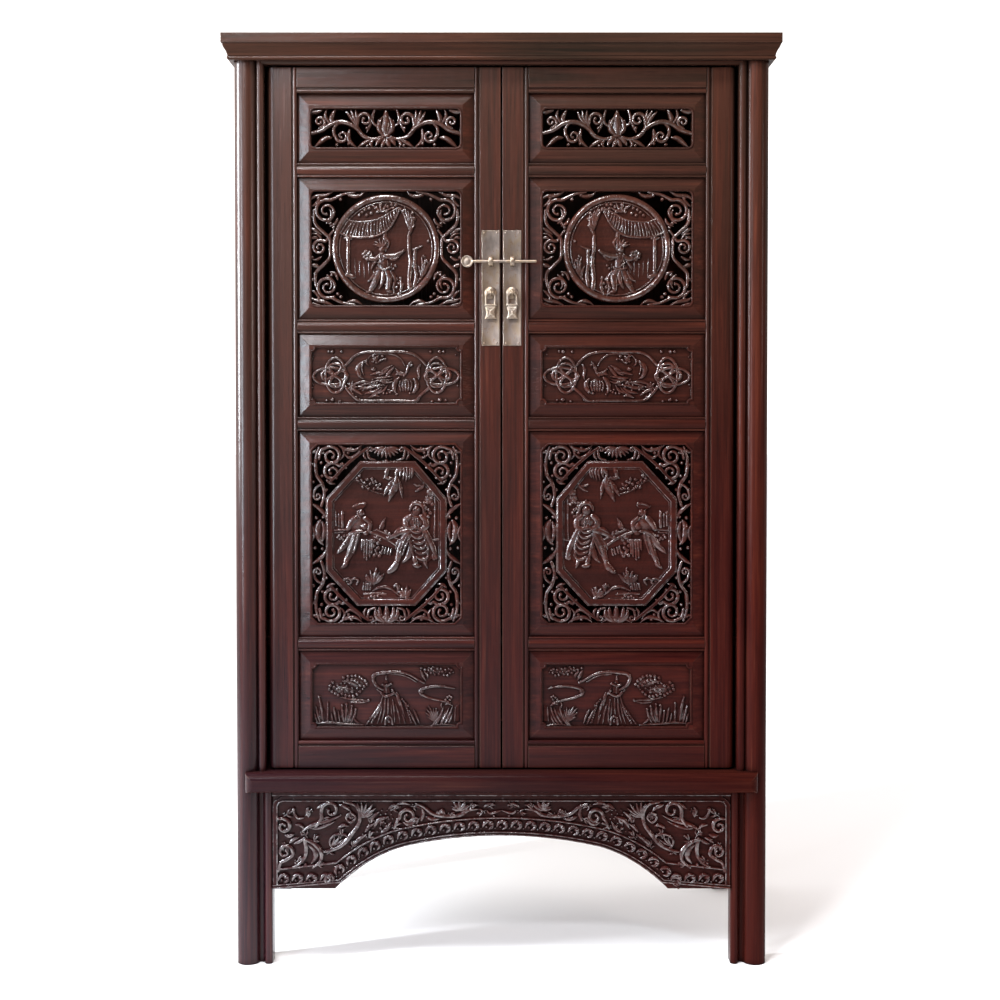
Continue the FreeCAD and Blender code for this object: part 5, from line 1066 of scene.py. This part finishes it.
# A tree with a lantern, a railing and the plants along the foot of the scene.
figures.strand([(97, 82), (97, 32), (96, -12)], 4, ground, 10.5, step=8)
figures.strand([(-101, 45), (-101, 17)], 4, ground, 10.8, step=8)
figures.strand([(-88, 44), (-88, 14)], 6.5, ground, 11.4, step=8)
figures.strand([(-95, 40), (-95, 15)], 3, ground, 10.4, step=8)
figures.strand([(-103, 7), (-93, 8), (-78, 9)], 3.6, ground, 11, step=6)
figures.strand([(-103, 2), (-93, 3), (-84, 3)], 2.6, ground, 10.4, step=6)
figures.fan((-28, -101), [(-41, -81), (-33, -73), (-20, -66), (-14, -76), (-5, -81)], 9, ground, 13.2)
figures.slab([(-51, -113), (-45, -99), (-36, -91), (-28, -100), (-27, -114)], ground, 11.4, 2.5)
for x in (-47, -42, -38, -33):
    figures.strand([(x, -111), (x + 2, -99)], 3.6, ground, 13)
figures.slab([(-48, -137), (-45, -119), (-25, -115), (2, -110), (15, -113), (26, -128), (29, -137)],
             ground, 10.4, 2.5)
figures.fan((37, -126), [(23, -114), (30, -108), (41, -104), (49, -110), (47, -118), (26, -124), (47, -129)],
            10, ground, 13.4)
figures.leaves(ground,
    (9, 12.6, 77, 57, 75, 45, 84, 29), (10, 14, -25, -102, -23, -85, -19, -67),
    (9, 13.6, -20, -97, -13, -88, -4, -80), (8, 13, -33, -97, -38, -91, -41, -81),
    (7, 12.4, -28, -114, -10, -106, 9, -110, 28, -126), (9, 13.2, 15, -106, 20, -102, 24, -108, 21, -119))
figures.strands(ground,
    (4, 11, 92, -13, 106, -11), (4, 12.6, -88, -98, -83, -90, -74, -90, -70, -97, -77, -101),
    (4, 12.6, -70, -92, -64, -89, -56, -93, -60, -101), (3, 12, -80, -96, -77, -94),
    (4, 12, -45, -120, -25, -119, -1, -121), (3.4, 11.8, -28, -136, -4, -134, 15, -130))
figures.bosses(ground,
    (88, 84, 9, 13.6, 11, -15), (86, 68, 10, 13, 11))
figures.beads(ground,
    (4.6, 13.4, 82, 73, 91, 72, 88, 63, 82, 63, 92, 59, 76, 56, 70, 57, 85, 48, 93, 79, 84, 35, 88, 42, 79,
     51, 76, 62), (3.6, 12, -95, -3, -89, -8, -84, -4, -93, -10, -78, -3, -98, -7, -86, -12),
    (4, 13, -30, -125, -24, -126, -17, -124, -12, -129, -24, -132, -16, -133, -35, -129))
figures.repeat(4)
figures.scroll([(-134, 150), (-130, 168)], (-110, 156), 20, 135, -1.5, 6, 0, 13.8)
figures.scroll([(-80, 132), (-88, 140)], (-108, 124), 19, 40, 1.5, 6, 0, 12.4)
figures.strand([(-36, 173), (-56, 158), (-82, 136), (-112, 104)], [4, 5, 5, 4], 0, 13, form="flat")
figures.scroll([(-124, 92), (-132, 98), (-142, 90)], (-137, 76), 9, 150, 1.1, 4.5, 0, 13)
figures.scroll([(-22, 148), (-34, 152), (-38, 166)], (-31, 168), 7, 190, -0.9, 4.2, 0, 12.8)
figures.leaves(0,
    (8, 12.5, -149, 60, -136, 52, -124, 40, -119, 26), (7, 12, -149, 140, -142, 134, -138, 118),
    (8, 12.5, -95, 178, -82, 170, -62, 168, -48, 178), (6, 12, -84, 160, -72, 152, -58, 160, -50, 172),
    (5, 12, -90, 178, -84, 160, -92, 148), (6, 12, -120, 108, -112, 102, -102, 100),
    (5, 12, -40, 149, -45, 158, -42, 168))
figures.strands(0,
    ([4, 6, 6, 6, 5], 13, -134, 174, -141, 150, -140, 120, -128, 100, -124, 78, -130, 56),
    ([5, 6, 4], 11.5, -149, 164, -138, 164, -124, 162))
figures.beads(0,
    (3.4, 12.5, -141, 166, -130, 142, -76, 162, -128, 116, -100, 112, -146, 104, -120, 88, -70, 172))
figures.repeat(2)
figures.leaves(0,
    (15, 13.4, -132, 27, -138, 12, -135, -10, -126, -22),
    (10, 12.8, -128, 24, -124, 8, -127, -10, -132, -20), (8, 12.4, -149, 16, -144, 2, -148, -14))
figures.beads(0, (3.6, 12.6, -126, 34, -140, 32, -128, -30, -143, -28))
figures.repeat(1)
for rib in range(9):
    angle = math.radians(20 + rib * 17.5)
    figures.leaf([(4 * math.cos(angle), 178 - 5), (17 * math.cos(angle), 175 - 9 * math.sin(angle)),
                  (30 * math.cos(angle), 176 - 24 * math.sin(angle))], 8, 0, 13.4)
for tip in ((-22, -150), (-14, -146), (0, -143), (14, -146), (22, -150)):
    figures.leaf([(0, -180), (tip[0] * 0.9, -166), tip], 13, 0, 13.4)
figures.leaves(0, (8, 12.8, -30, -178, -16, -170, 0, -168, 16, -170, 30, -178))
figures.bosses(0, (0, 146, 4, 12))
hang_carving(figures, "figure", 860, 178, "cut")

# Landscape panels: the lowest board, solid like the knot's, with a hill and a pavilion among
# clouds, a pine on the left and reeds and a rock on the right.

panel_board("landscape", 536, 180, 62, "notch", False)
view = Carving(1.32)
view.strand([(-118, -15), (-118, -53)], 4, sunk, 9.6, step=8)
view.balls([(-118, -16 - 4 * bead) for bead in range(10)], 2.7, sunk, 12.8)
view.balls([(-134, -34 - 4 * bead) for bead in range(6)], 2, sunk, 11.6)
view.leaves(sunk,
    (4.4, 11.8, -89, 29, -72, 26, -56, 19), (4.4, 11.8, -102, 15, -82, 14, -63, 10),
    (4.4, 11.8, -92, -4, -66, -9, -36, -10), (4.4, 11.8, -72, -13, -53, -15, -35, -11),
    (5.4, 12.6, -136, -3, -131, -24, -127, -53), (4.4, 12.6, -142, -21, -138, -38, -134, -55),
    (3.4, 12.6, -145, -36, -141, -48, -139, -56), (4.4, 12.6, -106, -24, -103, -40, -100, -56),
    (3.4, 12.6, -97, -31, -95, -45, -93, -56), (5, 12.6, -90, -21, -88, -38, -86, -55),
    (5, 12.6, -80, -20, -81, -36, -84, -54), (5.4, 12.6, -70, -23, -72, -39, -79, -55),
    (5, 12.6, -62, -28, -65, -42, -72, -56), (4, 12.6, -67, -45, -61, -52, -53, -57),
    (3.2, 12.6, -111, -36, -109, -47, -107, -56))
view.strands(sunk, ([3, 4.5, 4.5, 3], 10.8, -145, -57, -118, -55, -86, -58, -47, -60))
view.bosses(sunk, (-36, -10, 3.6, 12.6))
view.beads(sunk,
    (4.2, 12.8, -86, 35, -77, 38, -69, 39, -62, 39, -54, 37, -49, 33, -43, 29, -39, 22, -45, 18, -53, 20,
     -58, 26, -63, 29, -70, 31, -78, 31),
    (4.2, 12.6, -108, 26, -113, 19, -115, 12, -109, 7, -103, 4, -97, 0, -89, 3, -82, 0, -74, -2, -67, -2,
     -59, 2, -53, 7, -69, 7, -79, 10, -89, 10, -99, 12, -105, 16, -97, 19),
    (2.6, 11.6, -66, 22, -74, 24, -84, 25, -91, 24, -59, 14, -69, 15, -80, 18, -48, 12),
    (3.2, 13, -89, -20, -80, -18, -62, -28, -69, -22, -136, -3))

# The hill has grooved sides and rays of beads, and a small tower on its top.
view.slab([(-8, 0), (12, 2), (24, -8), (39, -31), (62, -59), (-43, -61), (-23, -38), (-13, -18)],
          sunk, 9.2, 1.5)
for first, last, count in (((-15, -25), (-39, -56), 9), ((38, -16), (49, -54), 9),
                           ((31, -8), (43, -21), 4), ((-20, -39), (-30, -55), 5)):
    for bead in range(count):
        share = bead / (count - 1)
        view.ball((first[0] + share * (last[0] - first[0]), first[1] + share * (last[1] - first[1])),
                  2.5, sunk, 13.2, sides=8)
view.slab([(-5, 24), (-3, 32), (1, 32), (3, 24)], sunk, 12.4, 1)
view.slab([(-7, 4), (-6, 18), (5, 18), (7, 4)], sunk, 11.6, 1)
view.leaves(sunk,
    (4.6, 12.4, -8, -1, -14, -21, -28, -41, -43, -61), (4, 12.4, -12, -21, -20, -38, -33, -56),
    (4, 12.4, -3, -4, -5, -31, -11, -56), (4, 12.4, 3, -6, 3, -24, 2, -39),
    (4, 12.4, 12, -8, 15, -31, 16, -56), (3, 12.4, 9, -18, 10, -34, 12, -45),
    (3.6, 12.4, -9, -18, -13, -38, -19, -57), (7, 12.4, 20, 6, 23, -6, 26, -21),
    (4.4, 12.4, 26, -8, 32, -28, 37, -45), (4, 12.4, 18, -18, 24, -38, 27, -57),
    (4.4, 12.4, 45, -30, 52, -44, 59, -59), (4.6, 12.4, 54, -28, 60, -42, 66, -57),
    (3.4, 12.4, 31, -38, 35, -49, 37, -58), (4, 12, 10, 8, 15, 6, 18, 0))
view.strands(sunk,
    (3.6, 12.6, -3, -59, -2, -47, 4, -42, 10, -47, 12, -59), ([2.4, 4], 12.8, -1, 39, -1, 32),
    ([3, 4.4, 3], 13.2, -9, 22, -1, 19, 8, 23), (2.4, 12.6, -1, 16, 0, 5),
    ([3.4, 5, 3.4], 13.2, -11, 4, -1, -2, 14, 4))
view.bosses(sunk, (4, -52, 4.4, 11, 6))
view.beads(sunk, (3.6, 13, 12, 10, -11, 5, 9, 23))

# Bands of cloud run to the right, under flowers, over reeds and a rock.
view.fan((95, -52), [(78, -25), (77, -34), (80, -43), (88, -30), (93, -26), (84, -21), (99, -24), (103, -31)],
         4.6, sunk, 12.6)
view.slab([(132, -54), (134, -31), (139, -20), (146, -18), (146, -54)], sunk, 9.6, 2)
for spot, radius, tall, turn in (((-62, 26), 24, 12, -14), ((-90, 12), 27, 12, -10), ((-79, -42), 20, 15, 0),
                                 ((-132, -39), 11, 17, 0), ((116, -42), 17, 16, 0), ((102, 49), 29, 8, -3)):
    view.ball(spot, radius, sunk, 9.6, tall, turn, sides=24)
view.leaves(sunk,
    (6, 13, 68, 50, 72, 41, 78, 30), (4.4, 12.4, 75, 49, 80, 43, 83, 35),
    (4.6, 13, 91, -62, 101, -49, 107, -38), (5.4, 13, 96, -61, 107, -44, 114, -22),
    (5.4, 13, 107, -60, 119, -39, 125, -24), (5, 13, 116, -57, 124, -44, 132, -22),
    (4.4, 13, 118, -18, 124, -16, 132, -21), (4, 13, 124, -56, 128, -48, 131, -38),
    (3.4, 13, 111, -25, 109, -18, 112, -13), (4, 11, 138, -23, 137, -38, 136, -53))
view.strands(sunk,
    ([3, 5, 6, 6.5, 6, 4.4, 4, 3.6, 3], 12.8, -7, 11, -19, 18, -26, 28, -27, 38, -21, 43, -9, 45, 10, 47,
     30, 46, 47, 41, 62, 32, 75, 25), ([2, 3, 2], 11, -19, 12, -11, 6, -6, 4),
    ([2, 3, 3, 2], 10.8, 10, 42, 30, 41, 46, 35, 59, 27),
    ([4, 5.4, 4.4, 3.4, 2.4], 12.6, 71, 0, 66, 7, 72, 13, 92, 18, 112, 18, 136, 14),
    ([4, 4, 3, 2], 11.8, 72, 1, 84, -5, 105, -10, 128, -15), ([3, 4, 3], 10.8, 89, -62, 118, -59, 145, -63))
view.bosses(sunk,
    (-24, 40, 5, 13.4, 4), (70, 8, 5, 13.4, 4.4))
view.beads(sunk,
    (3.4, 12.8, 69, 55, 77, 52, 84, 51, 90, 53, 95, 49, 102, 54, 105, 43, 112, 47, 118, 51, 122, 40, 127,
     45, 130, 51, 115, 41, 97, 42, 89, 45, 82, 40, 125, 53, 109, 53),
    (2.4, 12, 93, 57, 107, 47, 118, 46, 85, 56, 99, 47, 134, 46),
    (3, 13, 122, -4, 127, -9, 118, -9, 123, -13, 130, -4, 126, -1))
hang_carving(view, "landscape", 536, 62, "notch")

# Lock plates: a thin brass plate on the meeting stile of each door, held by a small domed
# tack in each corner. The brass is pale, brushed by hand, tarnished in patches and rubbed
# bright along its edges.


def brass(name, start, tone):
    """Aged brass with tarnish, scratches and bright edges."""
    finish = Finish(name)
    begin = (start, start, start)
    patches = finish.noise(42, 4, (1, 1, 0.5), begin)
    fine = finish.noise(900, 3, (1, 1, 0.12), begin)
    spots = finish.noise(240, 2, (1, 1, 1), begin)
    dull = tuple(part * 0.62 for part in tone)
    warm = (tone[0] * 1.04, tone[1] * 0.97, tone[2] * 0.8)
    metal = finish.ramp(patches, [(0.3, dull), (0.45, tone), (0.58, warm), (0.72, tone)])
    metal = finish.mixed(finish.ramp(spots, [(0.3, 1.0), (0.38, 0.0)]), metal, (0.2, 0.13, 0.09))
    normal, meet = finish.soft_edges(0.0007)
    metal = finish.mixed(finish.ramp(meet, [(0.88, 1.0), (0.97, 0.0)]), metal, (0.85, 0.76, 0.64))
    finish.feed(finish.shader, {
        "Base Color": metal,
        "Metallic": 0.9,
        "Roughness": finish.ramp(patches, [(0.3, 0.55), (0.65, 0.36)]),
        "Normal": finish.bumps(normal, (patches, 0.35, 0.001), (fine, 0.25, 0.0002)),
    })
    return finish.material


def settle(thing, finish, body, *nodes):
    """Gives a finished piece its place in the file: unturned, smooth, coloured and riding."""
    pick(thing)
    bpy.ops.object.transform_apply(location=True, rotation=True, scale=True)
    bpy.ops.object.shade_smooth_by_angle(angle=math.radians(35))
    thing.data.materials.clear()
    thing.data.materials.append(finish)
    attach(thing, body)
    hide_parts(*nodes)


def joined(name, things):
    """Several solids as one piece."""
    pick(*things)
    bpy.ops.object.join()
    things[0].name = name
    return things[0]


plate_x = 0.0215
plate_face = -0.2282


def dome(x, z, radius, rise, sides):
    """A round cap on the face of the lock plate."""
    bpy.ops.mesh.primitive_uv_sphere_add(
        segments=sides, ring_count=sides // 2, radius=radius, location=(x, plate_face, z),
        rotation=(math.pi / 2, 0, 0), scale=(1, 1, rise / radius))
    cap = bpy.context.object
    bpy.ops.object.transform_apply(location=True, rotation=True, scale=True)
    bpy.ops.object.mode_set(mode="EDIT")
    bpy.ops.mesh.select_all(action="SELECT")
    bpy.ops.mesh.bisect(plane_co=(x, plate_face, z), plane_no=(0, 1, 0), use_fill=True, clear_outer=True)
    bpy.ops.object.mode_set(mode="OBJECT")
    return cap


plate_brass = brass("brass_plates", 2.7, (0.235, 0.192, 0.165))
for door, side in (("left", -1), ("right", 1)):
    middle = (side * plate_x, plate_face + 0.0006, 1.35)
    plate = box(middle, (0.035, 0.0012, 0.228))
    plate.name = f"{door}_brass_plate"
    select_parts(plate, "FACE", lambda face: face.normal.y < -0.9)
    bpy.ops.mesh.inset(thickness=0.0011, depth=0)
    bpy.ops.mesh.inset(thickness=0.0007, depth=-0.0003)
    bpy.ops.object.mode_set(mode="OBJECT")
    settle(plate, plate_brass, f"{door}_door", f"{door}_lock_plate")
    tacks = [
        dome(middle[0] + across, middle[2] + up, 0.0022, 0.0012, 16)
        for across in (-0.0125, 0.0125) for up in (-0.109, 0.109)]
    settle(joined(f"{door}_brass_tacks", tacks), plate_brass, f"{door}_door", f"{door}_plate_tacks")

# Lock pin and its staples: a brass rod with a disc head, pushed through a bent brass band on
# each plate. The band stands round the rod, and the disc has a raised rim and a low button.


def rod(middle, radius, length, turn, sides):
    """A round bar, or a disc, turned from upright."""
    bpy.ops.mesh.primitive_cylinder_add(
        vertices=sides, radius=radius, depth=length, location=middle, rotation=turn)
    bpy.ops.object.transform_apply(location=True, rotation=True, scale=True)
    return bpy.context.object


def round_edges(thing, width, sharp):
    """Rounds the edges of the active piece that bend by more than an angle."""
    rounded = thing.modifiers.new("rounded", "BEVEL")
    rounded.width = width
    rounded.segments = 2
    rounded.limit_method = "ANGLE"
    rounded.angle_limit = math.radians(sharp)
    bpy.ops.object.modifier_apply(modifier="rounded")


pin_y = -0.2367
pin_z = 1.402
crosswise = (0, math.pi / 2, 0)
fitting_brass = brass("brass_fittings", 9.1, (0.285, 0.233, 0.195))
for door, side in (("left", -1), ("right", 1)):
    x = side * plate_x
    bpy.ops.mesh.primitive_plane_add(
        size=1, location=(x, pin_y, pin_z - 0.0088), rotation=(math.pi / 2, 0, 0))
    band = bpy.context.object
    band.name = f"{door}_staple_band"
    band.scale = (0.0082, 0.0024, 1)
    bpy.ops.object.transform_apply(location=True, rotation=True, scale=True)
    bpy.ops.object.mode_set(mode="EDIT")
    bpy.ops.mesh.select_all(action="SELECT")
    bpy.ops.mesh.spin(steps=14, angle=math.pi, center=(x, pin_y, pin_z), axis=(1, 0, 0))
    bpy.ops.mesh.select_all(action="SELECT")
    bpy.ops.transform.resize(value=(1, 0.84, 1), center_override=(x, pin_y, pin_z))
    bpy.ops.object.mode_set(mode="OBJECT")
    select_parts(band, "FACE", lambda face: face.normal.y > 0.9 and face.center.y > pin_y - 0.0001)
    bpy.ops.mesh.extrude_region_move(TRANSFORM_OT_translate={"value": (0, 0.0085, 0)})
    bpy.ops.object.mode_set(mode="OBJECT")
    round_edges(band, 0.0006, 50)
    settle(band, fitting_brass, f"{door}_door", f"{door}_pin_staple")
shaft = rod((0.00595, pin_y, pin_z), 0.0029, 0.1259, crosswise, 28)
select_parts(shaft, "FACE", lambda face: face.normal.x > 0.9)
for push, shrink in ((0.0, 0.82), (0.0005, 0.7)):
    bpy.ops.mesh.extrude_region_move(TRANSFORM_OT_translate={"value": (push, 0, 0)})
    bpy.ops.transform.resize(value=(1, shrink, shrink), center_override=(0.0689, pin_y, pin_z))
bpy.ops.object.mode_set(mode="OBJECT")
disc = rod((-0.068, pin_y, pin_z), 0.0115, 0.004, (math.pi / 2, 0, 0), 56)
select_parts(disc, "FACE", lambda face: face.normal.y < -0.9)
for inward, lift in ((0.0022, 0), (0.0008, -0.001), (0.003, 0), (0.0012, 0.0007)):
    bpy.ops.mesh.inset(thickness=inward, depth=lift)
bpy.ops.object.mode_set(mode="OBJECT")
round_edges(disc, 0.0005, 40)
settle(joined("brass_pin", [shaft, disc]), fitting_brass, "lock_pin", "lock_pin")

# Pulls: a domed boss with an eye on each plate, and a cast pull that hangs in the eye, with an
# arched loop, a cross bar and a waisted pendant.

pull_z = 1.34
eye_y = -0.2372
for door, side in (("left", -1), ("right", 1)):
    x = side * plate_x
    boss = dome(x, pull_z, 0.0124, 0.004, 40)
    bpy.ops.mesh.primitive_torus_add(
        major_segments=32, minor_segments=12, major_radius=0.0058, minor_radius=0.0014,
        location=(x, eye_y, pull_z), rotation=crosswise)
    eye = bpy.context.object
    bpy.ops.object.transform_apply(location=True, rotation=True, scale=True)
    settle(joined(f"{door}_brass_boss", [boss, eye]), fitting_brass, f"{door}_door", f"{door}_pull_staple")

    pull = Carving()
    arch = [(9 * math.cos(math.radians(a)), -9 + 9 * math.sin(math.radians(a))) for a in range(0, 181, 15)]
    pull.strand([(9, -24), (9, -16)] + arch + [(-9, -16), (-9, -24)], 5, 0, 5, mitred=True)
    pull.slab([(-12.5, -25.6), (-11, -22.2), (11, -22.2), (12.5, -25.6)], 0.2, 5, 1)
    waist = [(10.5, -27.6), (10.2, -31), (8.6, -36), (8, -39.5), (8.6, -43), (10.6, -48), (11.4, -51.5)]
    pull.slab(waist + [(-x, z) for x, z in waist[::-1]], 0.4, 4.4, 1.6)
    pull.slab([(-8, -28.5), (-8, -25), (8, -25), (8, -28.5)], 0.6, 3.8, 0.6)
    pull.strand([(-6, -31), (0, -35), (6, -31)], 1.6, 3, 5, step=2)
    pull.strand([(-6.5, -47.5), (0, -42.5), (6.5, -47.5)], 1.6, 3, 5, step=2)
    pull.ball((0, -38.8), 2.2, 3, 5)
    place = (1000 * side * plate_x, -234.7, 1000 * pull_z)
    hanging = pull.piece(f"{door}_cast_pull", place, fitting_brass)
    knuckle = rod((side * plate_x, eye_y, pull_z), 0.0028, 0.009, crosswise, 20)
    settle(joined(f"{door}_cast_pull", [hanging, knuckle]), fitting_brass, f"{door}_pull", f"{door}_pull")

# Shelves, floor board and bearers: plain brown boards under a thin matt lacquer, with open
# pores. They keep their CAD solids, since little of them shows through the pierced panels.

shelf_wood = lacquered_wood("plain_boards", "x", 21.3)
refinish(shelf_wood, "upper_shelf", "lower_shelf", "floor_board", "shelf_bearers")
